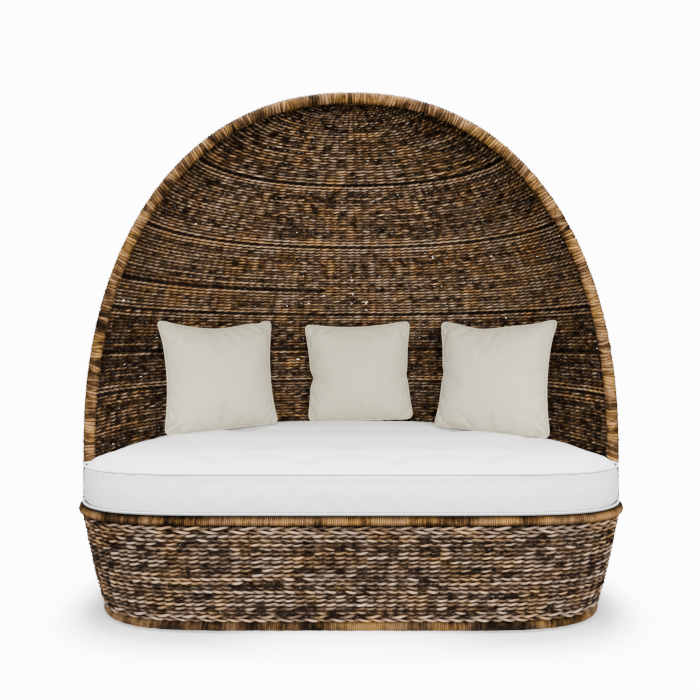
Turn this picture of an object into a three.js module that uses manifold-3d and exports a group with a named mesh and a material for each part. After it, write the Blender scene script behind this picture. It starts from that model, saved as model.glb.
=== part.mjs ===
// An egg-shaped canopy daybed: a flared woven base, a woven half dome that rises from its back,
// a boxed and tufted seat cushion and three throw pillows. Millimetres, +Z up, the open front
// towards -Y. The origin is on the floor, under the centre of the overall box.
import * as THREE from 'three';
import { mergeVertices } from 'three/addons/utils/BufferGeometryUtils.js';
import Module from 'manifold-3d';

const wasm = await Module();
wasm.setup();

// Clearances
const seatGap = 0.3;
const wrapClearance = 0.5;
const cutOverrun = 60;
const buttGap = 1;

// The rim hoop, on its centre line: half its width, its reach in front of and behind the front
// arch, and how far behind the arch it is widest
const rimHalfWidth = 926;
const rimFront = 200;
const rimBack = 837;
const rimWidest = 18;
const rimHeight = 366;
const rimRollRadius = 18;

// The bottom hoop: how far it lies inside the rim at the sides, the front and the back, and how
// far behind the arch it is widest
const sideFlare = 68;
const frontFlare = 28;
const backFlare = 57;
const bottomWidest = 60;
const bottomRollRadius = 15;
const glideHeight = 4;
const glideRadius = 15;

// How square the front corners and the back of each hoop are, as powers of a superellipse
const frontPowerShare = 6.5;
const backPowerShare = 2.1;

// The cane wrapping of the hoops
const wrapThickness = 4.5;
const hoopSides = 8;
const poleSides = 5;
const baseStations = 48;

// The woven wall of the base and the twined borders at its edges
const weaveThickness = 14;
const wallSwell = 2;
const wallPowerShare = 0.66;
const wallLevels = 4;
const borderHeight = 24;
const borderSwell = 2;

// The arch and the woven dome behind it
const archInset = 7;
const archShoulderHeight = 549;
const archTopHeight = 1785;
const archRollRadius = 20;
const archPowerShare = 2.2;
const archCurveStations = 30;
const domePowerShare = 1.85;
const domeColumns = 32;
const domeHoopRadius = 6;
const domeHoopShares = [0.152, 0.412, 0.654, 0.842];
const domeBandRowCounts = [2, 4, 4, 3, 6];
const weaveCheckDepth = 3;

// The deck under the cushion
const slatThickness = 16;
const slatWidth = 110;
const slatEndMargin = 51;
const slatCount = 6;
const deckRise = 18;
const beamHeight = 40;
const beamWidth = 30;
const beamShares = [-0.6, 0, 0.6];
const postRadius = 13;
const archPostInset = 58;
const archPostTopInset = 14;
const archPostTopDrop = 6;
const roundSides = 10;

// The steel dowels that hold the arch on the rim
const dowelRadius = 4;
const dowelDepth = 8;
const dowelLength = 84;

// The seat cushion: its front follows the rim, its back follows the dome
const cushionOverhang = 14;
const cushionBandHeight = 126;
const cushionCrown = 40;
const cushionWallGap = 6;
const cushionArchGap = 3;
const cushionNotchRun = 24;
const cushionFrontStart = 54;
const cushionSpineHalf = 470;
const cushionSpineBehind = 150;
const cushionFrontStations = 26;
const cushionBackStations = 22;
const seamDrawIn = 7;
const seamRound = 14;
const crownRunOut = 240;
const crownRunShares = [0.62, 0.29, 0.1];
const crownRiseShares = [0.97, 0.76, 0.36];
const bandRunShares = [0.15, 0, 0.15];
const bandRiseShares = [0.88, 0.5, 0.12];
const coverThickness = 8;
const coreClearance = 0.5;
const zipLength = 600;
const zipHeight = 3;
const pipingRadius = 3.5;
const pipingStandOff = 5.5;
const pipingSides = 4;

// The sewn tufts of the cushion
const tuftPitch = 295;
const tuftRowPitch = 272;
const tuftFirstRow = 69;
const tuftRowCounts = [4, 5, 4];
const tuftRadius = 46;
const tuftDepth = 11;
const tuftSides = 8;
const tuftRings = 3;

// The throw pillows
const pillowWidth = 500;
const pillowHeight = 462;
const pillowThickness = 150;
const pillowPinchShare = 0.085;
const pillowPowerShare = 3;
const pillowEdgeShare = 0.62;
const pillowCells = 10;
const insertCells = 6;
const insertShare = 0.84;
const insertThickness = 112;
const insertFillShare = 0.97;
const pillowZipLength = 260;
const pillowPipingRadius = 2.5;
const pillowRestGap = 0.6;
// Where each pillow stands. wall is -1 or 1 for a pillow set off from the dome's left or right and
// 0 for the middle, and acrossShare is the step from there, as a share of a pillow's width.
// behindShare is of the dome's depth at the height of the pillow's top. The angles, in degrees: turned
// to the middle, leaning back, and rolled on its lower edge
const pillowPlaceShares = [
  { name: 'left', wall: -1, acrossShare: 0.632, behindShare: 0.569, turn: 33, lean: 3, roll: 2 },
  { name: 'middle', wall: 0, acrossShare: 0.072, behindShare: 0.903, turn: -3, lean: -2, roll: 2 },
  { name: 'right', wall: 1, acrossShare: -0.566, behindShare: 0.495, turn: -36, lean: 4, roll: -1.4 },
];

// Places that follow from the sizes above
const archY = (rimFront - rimBack) / 2;
const archHalfWidth = rimHalfWidth - archInset;
const domeBack = rimBack - archInset;
const domeHoopHeights = domeHoopShares.map((share) => (
  archShoulderHeight + (archTopHeight - archShoulderHeight) * share
));
const bottomHalfWidth = rimHalfWidth - sideFlare;
const bottomFront = rimFront - frontFlare;
const bottomBack = rimBack - backFlare;
const cushionFront = rimFront + cushionOverhang;
const rimTop = rimHeight + rimRollRadius;
const bottomHeight = glideHeight + bottomRollRadius;
const deckTop = rimHeight + deckRise;
const beamTop = deckTop - slatThickness - seatGap;
const slatPitch = (rimFront + rimBack - 2 * slatEndMargin - slatWidth) / (slatCount - 1);
const wallBase = bottomHeight + bottomRollRadius + seatGap;
const wallTop = rimHeight - rimRollRadius - seatGap;

// Finishes
const finishes = {
  cane: { color: 0x7c6347, roughness: 0.62, metalness: 0 },
  weave: { color: 0x6b5645, roughness: 0.78, metalness: 0 },
  domeWeave: { color: 0x5f4836, roughness: 0.8, metalness: 0 },
  pole: { color: 0x8a6a45, roughness: 0.6, metalness: 0 },
  timber: { color: 0xa98458, roughness: 0.65, metalness: 0 },
  glide: { color: 0x2a2826, roughness: 0.5, metalness: 0 },
  steel: { color: 0xb4b6b8, roughness: 0.35, metalness: 1 },
  canvas: { color: 0xe9eaec, roughness: 0.9, metalness: 0 },
  linen: { color: 0xcfcabd, roughness: 0.92, metalness: 0 },
  foam: { color: 0xe6dfc8, roughness: 0.95, metalness: 0 },
};

// Meshes and solids

function addTriangle(list, a, b, c) {
  if (a.distanceToSquared(b) > 0 && b.distanceToSquared(c) > 0 && c.distanceToSquared(a) > 0) {
    list.push(...a.toArray(), ...b.toArray(), ...c.toArray());
  }
}

function geometryFrom(list) {
  const loose = new THREE.BufferGeometry();
  loose.setAttribute('position', new THREE.Float32BufferAttribute(list, 3));
  return mergeVertices(loose, seatGap / 100);
}

// Closes a flat outline by zigzagging between its two sides.
function capOutline(list, outline, facesBack) {
  let low = 0;
  let high = outline.length - 1;
  while (high - low > 1) {
    const next = (low + outline.length - 1 - high) % 2 === 0 ? low + 1 : high - 1;
    const corners = [outline[low], outline[next], outline[high]];
    if (facesBack) corners.reverse();
    addTriangle(list, ...corners);
    if (next === low + 1) low = next;
    else high = next;
  }
}

// Joins a row of equal outlines into one skin, and closes its two ends unless it runs in a loop.
function loft(rings, isLoop = false) {
  const list = [];
  const spans = isLoop ? rings.length : rings.length - 1;
  for (let i = 0; i < spans; i += 1) {
    const near = rings[i];
    const far = rings[(i + 1) % rings.length];
    for (let j = 0; j < near.length; j += 1) {
      const k = (j + 1) % near.length;
      addTriangle(list, near[j], near[k], far[k]);
      addTriangle(list, near[j], far[k], far[j]);
    }
  }
  if (!isLoop) {
    capOutline(list, rings[0], true);
    capOutline(list, rings[rings.length - 1], false);
  }
  return geometryFrom(list);
}

function solidOf(geometry) {
  const bare = geometry.clone();
  bare.deleteAttribute('normal');
  bare.deleteAttribute('uv');
  const merged = mergeVertices(bare, seatGap / 100);
  const triVerts = new Uint32Array(merged.index.array);
  const solid = new wasm.Manifold(new wasm.Mesh({
    numProp: 3,
    vertProperties: merged.attributes.position.array,
    triVerts,
  }));
  if (solid.volume() > 0) return solid;
  for (let i = 0; i < triVerts.length; i += 3) {
    [triVerts[i + 1], triVerts[i + 2]] = [triVerts[i + 2], triVerts[i + 1]];
  }
  return new wasm.Manifold(new wasm.Mesh({
    numProp: 3,
    vertProperties: merged.attributes.position.array,
    triVerts,
  }));
}

function geometryOf(solid) {
  const mesh = solid.getMesh();
  const geometry = new THREE.BufferGeometry();
  geometry.setAttribute('position', new THREE.BufferAttribute(new Float32Array(mesh.vertProperties), 3));
  geometry.setIndex(new THREE.BufferAttribute(new Uint32Array(mesh.triVerts), 1));
  return geometry;
}

const daybed = new THREE.Group();

function addPart(name, geometry, finish, parent = daybed) {
  const shaded = geometry.index ? geometry.toNonIndexed() : geometry;
  shaded.computeVertexNormals();
  const mesh = new THREE.Mesh(shaded, new THREE.MeshStandardMaterial({ ...finishes[finish] }));
  mesh.name = name;
  parent.add(mesh);
  return mesh;
}

// The plan line of a hoop: two half superellipses that meet where the hoop is widest. It starts
// at the middle of the back and runs by the left side to the front and home by the right side.
class PlanLine extends THREE.Curve {
  constructor(halfWidth, front, back, widest) {
    super();
    this.halfWidth = halfWidth;
    this.front = front;
    this.back = back;
    this.widest = widest;
  }

  // The depth at a share of the half width, in front of or behind the widest place.
  depthAt(share, isFront) {
    const middle = archY + this.widest;
    const reach = Math.min(Math.abs(share), 1);
    if (isFront) return middle - (this.front + this.widest) * Math.sqrt(1 - reach ** frontPowerShare);
    return middle + (this.back - this.widest) * (1 - reach ** backPowerShare) ** (1 / backPowerShare);
  }

  getPoint(t, target = new THREE.Vector3()) {
    const turn = 2 * Math.PI * t;
    const share = -Math.sin(turn);
    return target.set(this.halfWidth * share, this.depthAt(share, Math.cos(turn) < 0), 0);
  }

  // The level direction that points out of the hoop.
  outwards(t) {
    const run = this.getTangent(t);
    return new THREE.Vector3(run.y, -run.x, 0);
  }

  moved(out) {
    return new PlanLine(this.halfWidth + out, this.front + out, this.back + out, this.widest);
  }
}

const rimLine = new PlanLine(rimHalfWidth, rimFront, rimBack, rimWidest);
const bottomLine = new PlanLine(bottomHalfWidth, bottomFront, bottomBack, bottomWidest);
rimLine.arcLengthDivisions = 20 * baseStations;
bottomLine.arcLengthDivisions = rimLine.arcLengthDivisions;
const stations = Array.from({ length: baseStations }, (_, i) => rimLine.getUtoTmapping(i / baseStations));

function roundOutline(radius, sides) {
  return Array.from({ length: sides }, (_, i) => {
    const turn = (2 * Math.PI * i) / sides;
    return new THREE.Vector2(radius * Math.cos(turn), radius * Math.sin(turn));
  });
}

// A section carried level round a hoop: x of the section points out, y points up.
function hoopRings(line, height, section, places) {
  return places.map((t) => {
    const centre = line.getPoint(t);
    const out = line.outwards(t);
    return section.map((p) => centre.clone().addScaledVector(out, p.x).setZ(height + p.y));
  });
}

// A hoop of pole inside a wound sleeve of cane whose two ends butt at the middle of the back.
function wrappedHoop(line, height, rollRadius) {
  const buttShare = buttGap / line.getLength();
  const openPlaces = [buttShare / 2, ...stations.slice(1), 1 - buttShare / 2];
  const boreRadius = rollRadius - wrapThickness;
  const sleeve = solidOf(loft(hoopRings(line, height, roundOutline(rollRadius, hoopSides), openPlaces)));
  const bore = solidOf(loft(hoopRings(line, height, roundOutline(boreRadius, poleSides), stations), true));
  const poleRadius = boreRadius - wrapClearance;
  const pole = solidOf(loft(hoopRings(line, height, roundOutline(poleRadius, poleSides), stations), true));
  return { sleeve: sleeve.subtract(bore), pole };
}

function hoopSolid(line, height, radius) {
  return solidOf(loft(hoopRings(line, height, roundOutline(radius, hoopSides), stations), true));
}

// The arch: two upright legs joined by a half superellipse, in the plane of the front opening.
class ArchCrown extends THREE.Curve {
  getPoint(t, target = new THREE.Vector3()) {
    const turn = Math.PI * t;
    const across = Math.abs(Math.cos(turn)) ** (2 / archPowerShare) * Math.sign(Math.cos(turn));
    const up = Math.sin(turn) ** (2 / archPowerShare);
    const rise = archTopHeight - archShoulderHeight;
    return target.set(-archHalfWidth * across, archY, archShoulderHeight + rise * up);
  }
}

const archFoot = rimHeight + archRollRadius / 4;
const archCrown = new ArchCrown();
archCrown.arcLengthDivisions = 20 * archCurveStations;
const archPoints = [
  new THREE.Vector3(-archHalfWidth, archY, archFoot),
  ...archCrown.getSpacedPoints(archCurveStations),
  new THREE.Vector3(archHalfWidth, archY, archFoot),
];

function archRings(radius, sides) {
  const back = new THREE.Vector3(0, 1, 0);
  return archPoints.map((point, i) => {
    const before = archPoints[Math.max(i - 1, 0)];
    const after = archPoints[Math.min(i + 1, archPoints.length - 1)];
    const out = after.clone().sub(before).normalize().cross(back).negate();
    return roundOutline(radius, sides).map((p) => (
      point.clone().addScaledVector(out, p.x).addScaledVector(back, p.y)
    ));
  });
}

// Hoops of the base
const rimHoop = wrappedHoop(rimLine, rimHeight, rimRollRadius);
const bottomHoop = wrappedHoop(bottomLine, bottomHeight, bottomRollRadius);
const rimClearance = hoopSolid(rimLine, rimHeight, rimRollRadius + seatGap);
const archClearance = solidOf(loft(archRings(archRollRadius + seatGap, hoopSides)));

// Dowel holes through the rim's sleeve into both poles
function dowelAt(side, radius, spare) {
  const dowel = new THREE.CylinderGeometry(radius, radius, dowelLength + 2 * spare, roundSides);
  dowel.rotateX(Math.PI / 2);
  dowel.translate(side * (archHalfWidth + archInset / 2), archY, rimHeight - dowelDepth + dowelLength / 2);
  return solidOf(dowel);
}

const dowelHoles = dowelAt(-1, dowelRadius + seatGap, seatGap).add(dowelAt(1, dowelRadius + seatGap, seatGap));

addPart('bottom_hoop_pole', geometryOf(bottomHoop.pole), 'pole');
addPart('bottom_hoop_wrap', geometryOf(bottomHoop.sleeve), 'cane');
addPart('rim_hoop_pole', geometryOf(rimHoop.pole.subtract(dowelHoles)), 'pole');
addPart('rim_hoop_wrap', geometryOf(rimHoop.sleeve.subtract(dowelHoles)), 'cane');

// Arch pole and its wound sleeve, both saddled onto the rim
const archBoreRadius = archRollRadius - wrapThickness;
const archPole = solidOf(loft(archRings(archBoreRadius - wrapClearance, poleSides)));
const archSleeve = solidOf(loft(archRings(archRollRadius, hoopSides)))
  .subtract(solidOf(loft(archRings(archBoreRadius, poleSides))));

// The sleeve's bore is open at both feet, so the bore is carried on below them.
const footBores = [-1, 1].map((side) => {
  const foot = new THREE.CylinderGeometry(archBoreRadius, archBoreRadius, archRollRadius, poleSides);
  foot.rotateX(Math.PI / 2);
  foot.translate(side * archHalfWidth, archY, archFoot);
  return solidOf(foot);
});
addPart('arch_pole', geometryOf(archPole.subtract(rimClearance).subtract(dowelHoles)), 'pole');
addPart(
  'arch_wrap',
  geometryOf(archSleeve.subtract(footBores[0]).subtract(footBores[1]).subtract(rimClearance)),
  'cane',
);
addPart('arch_dowel_left', geometryOf(dowelAt(-1, dowelRadius, 0)), 'steel');
addPart('arch_dowel_right', geometryOf(dowelAt(1, dowelRadius, 0)), 'steel');

// The base wall leans out from the bottom hoop to the rim and swells on the way.
function wallPoint(t, height, out) {
  const rise = (height - bottomHeight) / (rimHeight - bottomHeight);
  const climb = rise ** wallPowerShare;
  const mix = (low, high) => low + (high - low) * climb;
  const line = new PlanLine(
    mix(bottomHalfWidth - 2 * wallSwell, rimHalfWidth + wallSwell),
    mix(bottomFront - 2 * wallSwell, rimFront + wallSwell),
    mix(bottomBack - 2 * wallSwell, rimBack + wallSwell),
    mix(bottomWidest, rimWidest),
  );
  return line.getPoint(t).addScaledVector(line.outwards(t), out).setZ(height);
}

// A strip of the wall between two heights. swells gives how far each level stands proud.
function wallStrip(low, high, swells) {
  const half = weaveThickness / 2;
  const levels = swells.map((swell, i) => ({ swell, height: low + ((high - low) * i) / (swells.length - 1) }));
  return loft(stations.map((t) => [
    ...levels.map(({ swell, height }) => wallPoint(t, height, -half - swell)),
    ...levels.map(({ swell, height }) => wallPoint(t, height, half + swell)).reverse(),
  ]), true);
}

const lowerBorderTop = wallBase + borderHeight;
const upperBorderBase = wallTop - borderHeight;
addPart('lower_border', wallStrip(wallBase, lowerBorderTop, [0, borderSwell, 0]), 'cane');
addPart(
  'base_wall',
  wallStrip(lowerBorderTop + seatGap, upperBorderBase - seatGap, Array(wallLevels + 1).fill(0)),
  'weave',
);
addPart('upper_border', wallStrip(upperBorderBase, wallTop, [0, borderSwell, 0]), 'cane');

// The dome at a height: the share of its width and of its depth that is left there.
function domeShares(height, swell) {
  const top = archTopHeight + swell;
  const rise = Math.min(Math.max((height - archShoulderHeight) / (top - archShoulderHeight), 0), 1);
  return {
    width: (1 - rise ** archPowerShare) ** (1 / archPowerShare),
    depth: (1 - rise ** domePowerShare) ** (1 / domePowerShare),
  };
}

function domePoint(turn, height, swell) {
  const left = domeShares(height, swell);
  const across = Math.sin(turn);
  const deep = (1 - Math.min(Math.abs(across), 1) ** backPowerShare) ** (1 / backPowerShare);
  return new THREE.Vector3(
    (archHalfWidth + swell) * left.width * across,
    archY + (domeBack + swell) * left.depth * (Math.abs(turn) < Math.PI / 2 ? deep : 0),
    height,
  );
}

const domeTurns = Array.from({ length: domeColumns + 1 }, (_, i) => Math.PI / 2 - (Math.PI * i) / domeColumns);

// A woven band of the dome between two heights. The last one closes at the top of the arch.
// Its checks stand in and out by turns, but the edges stay where the hoops and the arch meet them.
function domeBand(low, high, rows, checkDepth) {
  const half = weaveThickness / 2;
  const column = (turn, j, swell) => {
    const top = high ?? archTopHeight + swell;
    return Array.from({ length: rows + 1 }, (_, i) => {
      const share = high === null ? Math.sin((Math.PI * i) / (2 * rows)) : i / rows;
      const inner = i > 0 && i < rows && j > 0 && j < domeColumns;
      const check = inner ? checkDepth * (-1) ** (i + j) : 0;
      return domePoint(turn, i === rows ? top : low + (top - low) * share, swell + check);
    });
  };
  const rings = domeTurns.map((turn, j) => (
    [...column(turn, j, half), ...column(turn, j, -half).reverse()]
  ));
  return solidOf(loft(rings)).subtract(archClearance);
}

const bandEdge = domeHoopRadius + seatGap;
const checkedBands = ['dome_band_waist', 'dome_band_middle'];
const bandNames = ['dome_band_low', 'dome_band_waist', 'dome_band_middle', 'dome_band_high', 'dome_cap'];
bandNames.forEach((name, i) => {
  const low = i === 0 ? rimTop + seatGap : domeHoopHeights[i - 1] + bandEdge;
  const high = i === domeHoopHeights.length ? null : domeHoopHeights[i] - bandEdge;
  const checkDepth = checkedBands.includes(name) ? weaveCheckDepth : 0;
  addPart(name, geometryOf(domeBand(low, high, domeBandRowCounts[i], checkDepth)), 'domeWeave');
});

// Pole hoops between the bands, from one leg of the arch round the back to the other
domeHoopHeights.forEach((height, i) => {
  const rings = domeTurns.map((turn) => {
    const centre = domePoint(turn, height, 0);
    const out = new THREE.Vector3(Math.sin(turn) / archHalfWidth, Math.max(Math.cos(turn), 0) / domeBack, 0);
    out.normalize();
    return roundOutline(domeHoopRadius, poleSides).map((p) => (
      centre.clone().addScaledVector(out, p.x).setZ(height + p.y)
    ));
  });
  addPart(`dome_hoop_${i + 1}`, geometryOf(solidOf(loft(rings)).subtract(archClearance)), 'pole');
});

// The deck's outline follows the inside of the rim roll.
const deckOutline = new THREE.Shape(stations.map((t) => {
  const point = rimLine.getPoint(t).addScaledVector(rimLine.outwards(t), -rimRollRadius - seatGap);
  return new THREE.Vector2(point.x, point.y);
}));
const deckPrism = solidOf(new THREE.ExtrudeGeometry(deckOutline, { depth: deckTop, bevelEnabled: false }));

function boxBetween(low, high) {
  const size = high.clone().sub(low);
  const box = new THREE.BoxGeometry(size.x, size.y, size.z);
  box.translate((low.x + high.x) / 2, (low.y + high.y) / 2, (low.z + high.z) / 2);
  return solidOf(box);
}

for (let i = 0; i < slatCount; i += 1) {
  const centre = (i - (slatCount - 1) / 2) * slatPitch;
  const plank = boxBetween(
    new THREE.Vector3(-rimHalfWidth, centre - slatWidth / 2, deckTop - slatThickness),
    new THREE.Vector3(rimHalfWidth, centre + slatWidth / 2, deckTop),
  );
  addPart(`deck_slat_${i + 1}`, geometryOf(plank.intersect(deckPrism).subtract(archClearance)), 'timber');
}

// Beams carry the slats, posts carry the beams and the arch, and each post stands on a glide.
const beamNames = ['left', 'centre', 'right'];
const postLine = bottomLine.moved(-bottomRollRadius - postRadius - wrapClearance);

function addPost(name, foot, top) {
  const rings = [foot, top].map((centre) => (
    roundOutline(postRadius, roundSides).map((p) => new THREE.Vector3(centre.x + p.x, centre.y + p.y, centre.z))
  ));
  addPart(`post_${name}`, geometryOf(solidOf(loft(rings)).subtract(rimClearance)), 'pole');
  const glide = new THREE.CylinderGeometry(glideRadius, glideRadius, glideHeight, roundSides);
  glide.rotateX(Math.PI / 2);
  glide.translate(foot.x, foot.y, glideHeight / 2);
  addPart(`glide_${name}`, glide, 'glide');
}

beamShares.forEach((share, i) => {
  const across = share * rimHalfWidth;
  const beam = boxBetween(
    new THREE.Vector3(across - beamWidth / 2, -rimBack, beamTop - beamHeight),
    new THREE.Vector3(across + beamWidth / 2, rimBack, beamTop),
  );
  addPart(`beam_${beamNames[i]}`, geometryOf(beam.intersect(deckPrism)), 'timber');
  [['front', true], ['back', false]].forEach(([end, isFront]) => {
    const depth = postLine.depthAt(across / postLine.halfWidth, isFront);
    const foot = new THREE.Vector3(across, depth, glideHeight + seatGap);
    addPost(`${end}_${beamNames[i]}`, foot, foot.clone().setZ(beamTop - beamHeight - seatGap));
  });
});

[['left', -1], ['right', 1]].forEach(([name, side]) => {
  const foot = new THREE.Vector3(side * (bottomHalfWidth - archPostInset), archY, glideHeight + seatGap);
  const top = new THREE.Vector3(side * (archHalfWidth - archPostTopInset), archY, rimHeight - archPostTopDrop);
  addPost(`arch_${name}`, foot, top);
});

// The seat cushion's outline at its widest: the rim's front, a notch at each leg of the arch and
// the inside of the dome behind it
const cushionLine = new PlanLine(rimHalfWidth, cushionFront, domeBack, rimWidest);
const notchEdge = archHalfWidth - archRollRadius - cushionArchGap;
const innerLine = new PlanLine(notchEdge, 0, domeBack - weaveThickness / 2 - cushionWallGap, 0);

function cushionOutline() {
  const startTurn = Math.asin((rimWidest + cushionFrontStart) / (cushionFront + rimWidest));
  const half = [];
  for (let i = 0; i <= cushionBackStations / 2; i += 1) {
    const lastTurn = Math.acos((2 * cushionNotchRun) / innerLine.back);
    const share = Math.sin((lastTurn * i * 2) / cushionBackStations);
    half.push(new THREE.Vector2(-innerLine.halfWidth * share, innerLine.depthAt(share, false)));
  }
  half.push(new THREE.Vector2(-notchEdge, archY + cushionNotchRun));
  half.push(new THREE.Vector2(-notchEdge, archY - cushionNotchRun));
  const lastShare = Math.cos(startTurn) ** (2 / frontPowerShare);
  for (let i = 0; i < cushionFrontStations / 2; i += 1) {
    const turn = Math.asin(lastShare) * (1 - (2 * i) / cushionFrontStations);
    const share = Math.sin(turn);
    half.push(new THREE.Vector2(-rimHalfWidth * share, cushionLine.depthAt(share, true)));
  }
  const middleFront = new THREE.Vector2(0, cushionLine.depthAt(0, true));
  const mirrored = half.slice(1).reverse().map((p) => new THREE.Vector2(-p.x, p.y));
  return [...half, middleFront, ...mirrored];
}

const outline = cushionOutline();
const spineY = archY + cushionSpineBehind;
const cushionBase = deckTop + seatGap;
const seamTop = cushionBase + cushionBandHeight;
const cushionTop = seamTop + cushionCrown;

// The outline stepped in by a distance, each point towards the nearest place on the spine.
function cushionRing(inset, height) {
  return outline.map((p) => {
    const spineX = Math.min(Math.max(p.x, -cushionSpineHalf), cushionSpineHalf);
    const way = new THREE.Vector3(spineX - p.x, spineY - p.y, 0);
    const step = way.clone().setLength(inset);
    return new THREE.Vector3(p.x + step.x, p.y + step.y, height);
  });
}

function closedStack(rings) {
  const list = [];
  rings.slice(1).forEach((upper, i) => {
    const lower = rings[i];
    lower.forEach((_, j) => {
      const k = (j + 1) % lower.length;
      addTriangle(list, lower[j], lower[k], upper[k]);
      addTriangle(list, lower[j], upper[k], upper[j]);
    });
  });
  [rings[0], rings[rings.length - 1]].forEach((ring, end) => {
    const flat = ring.map((p) => new THREE.Vector2(p.x, p.y));
    THREE.ShapeUtils.triangulateShape(flat, []).forEach(([a, b, c]) => {
      if (end === 0) addTriangle(list, ring[c], ring[b], ring[a]);
      else addTriangle(list, ring[a], ring[b], ring[c]);
    });
  });
  return solidOf(geometryFrom(list));
}

const cushionBody = closedStack([
  cushionRing(seamDrawIn + seamRound, cushionBase),
  cushionRing(seamDrawIn, cushionBase + seamRound / 2),
  ...bandRiseShares.map((share, i) => (
    cushionRing(seamDrawIn * bandRunShares[i], cushionBase + cushionBandHeight * (1 - share))
  )),
  cushionRing(seamDrawIn, seamTop),
  ...crownRiseShares.map((share, i) => (
    cushionRing(crownRunOut * crownRunShares[crownRunShares.length - 1 - i], seamTop + cushionCrown
      * crownRiseShares[crownRiseShares.length - 1 - i])
  )),
  cushionRing(crownRunOut, cushionTop),
]);

// Each tuft draws the crown down into a shallow bowl.
function tuftBowl(across, depth) {
  const rings = Array.from({ length: tuftRings }, (_, i) => {
    const share = i / tuftRings;
    const radius = tuftRadius * (1 - share) ** (1 / 2);
    return roundOutline(radius, tuftSides).map((p) => (
      new THREE.Vector3(across + p.x, depth + p.y, cushionTop - tuftDepth * share)
    ));
  });
  const lid = roundOutline(tuftRadius, tuftSides).map((p) => (
    new THREE.Vector3(across + p.x, depth + p.y, cushionTop + tuftDepth)
  ));
  return closedStack([...rings.reverse(), lid]);
}

const tufts = tuftRowCounts.flatMap((count, row) => (
  Array.from({ length: count }, (_, i) => (
    tuftBowl((i - (count - 1) / 2) * tuftPitch, archY - tuftFirstRow + row * tuftRowPitch)
  ))
));

// The foam core, and the hollow that it fills inside the cover
function coreSolid(spare) {
  const inset = seamDrawIn + coverThickness - spare;
  return closedStack([
    cushionRing(inset, cushionBase + coverThickness - spare),
    cushionRing(inset, seamTop - coverThickness + spare),
  ]);
}

const zipMouth = boxBetween(
  new THREE.Vector3(-zipLength / 2, innerLine.depthAt(0, false) - 2 * cutOverrun, seamTop - cushionBandHeight / 2),
  new THREE.Vector3(
    zipLength / 2,
    innerLine.depthAt(0, false) + cutOverrun,
    seamTop - cushionBandHeight / 2 + zipHeight,
  ),
);
const tuftedCover = tufts.reduce((cover, bowl) => cover.subtract(bowl), cushionBody);
addPart('seat_foam_core', geometryOf(coreSolid(0)), 'foam');
addPart(
  'seat_cover',
  geometryOf(tuftedCover.subtract(coreSolid(coreClearance)).subtract(zipMouth)),
  'canvas',
);

// Piping along the two seams of the cushion
function cushionPiping(height, lift) {
  const centre = cushionRing(seamDrawIn - pipingStandOff, height + lift);
  const rings = centre.map((point, i) => {
    const before = centre[(i + centre.length - 1) % centre.length];
    const after = centre[(i + 1) % centre.length];
    const run = after.clone().sub(before).normalize();
    const out = new THREE.Vector3(run.y, -run.x, 0);
    return roundOutline(pipingRadius, pipingSides).map((p) => (
      point.clone().addScaledVector(out, p.x).setZ(point.z + p.y)
    ));
  });
  return geometryOf(solidOf(loft(rings, true)));
}

addPart('seat_piping_top', cushionPiping(seamTop, pipingRadius + wrapClearance), 'canvas');
addPart('seat_piping_bottom', cushionPiping(cushionBase + seamRound / 2, -pipingRadius / 2), 'canvas');

// A pillow in its own frame: x across, y up, z towards the sitter. Its sides draw in between the
// corners, and its faces swell between the seams.
function pillowPoint(u, v, width, height, thickness) {
  const swell = ((1 - Math.abs(u) ** pillowPowerShare) * (1 - Math.abs(v) ** pillowPowerShare)) ** pillowEdgeShare;
  return new THREE.Vector3(
    (width / 2) * u * (1 - pillowPinchShare * (1 - v * v)),
    (height / 2) * v * (1 - pillowPinchShare * (1 - u * u)),
    (thickness / 2) * swell,
  );
}

// Stations across a pillow, closer together towards the seams
function edgeShare(i, cells) {
  return Math.sin((Math.PI / 2) * ((2 * i) / cells - 1));
}

function pillowSolid(cells, width, height, thickness) {
  const list = [];
  [1, -1].forEach((face) => {
    const at = (i, j) => {
      const point = pillowPoint(edgeShare(i, cells), edgeShare(j, cells), width, height, thickness);
      return point.setZ(point.z * face);
    };
    for (let i = 0; i < cells; i += 1) {
      for (let j = 0; j < cells; j += 1) {
        const corners = [at(i, j), at(i + 1, j), at(i + 1, j + 1), at(i, j + 1)];
        if (face < 0) corners.reverse();
        addTriangle(list, corners[0], corners[1], corners[2]);
        addTriangle(list, corners[0], corners[2], corners[3]);
      }
    }
  });
  return solidOf(geometryFrom(list));
}

function pillowPiping() {
  const side = Array.from({ length: pillowCells }, (_, i) => edgeShare(i, pillowCells));
  const walk = [
    ...side.map((share) => [share, -1]),
    ...side.map((share) => [1, share]),
    ...side.map((share) => [-share, 1]),
    ...side.map((share) => [-1, -share]),
  ];
  const edge = walk.map(([u, v]) => pillowPoint(u, v, pillowWidth, pillowHeight, 0));
  const rings = edge.map((point, i) => {
    const before = edge[(i + edge.length - 1) % edge.length];
    const after = edge[(i + 1) % edge.length];
    const run = after.clone().sub(before).normalize();
    const out = new THREE.Vector3(run.y, -run.x, 0);
    const isCorner = i % pillowCells === 0;
    const stand = (pillowPipingRadius + wrapClearance) * (isCorner ? Math.SQRT2 : 1);
    return roundOutline(pillowPipingRadius, pipingSides).map((p) => (
      point.clone().addScaledVector(out, stand + p.x).setZ(p.y)
    ));
  });
  return geometryOf(solidOf(loft(rings, true)));
}

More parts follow.
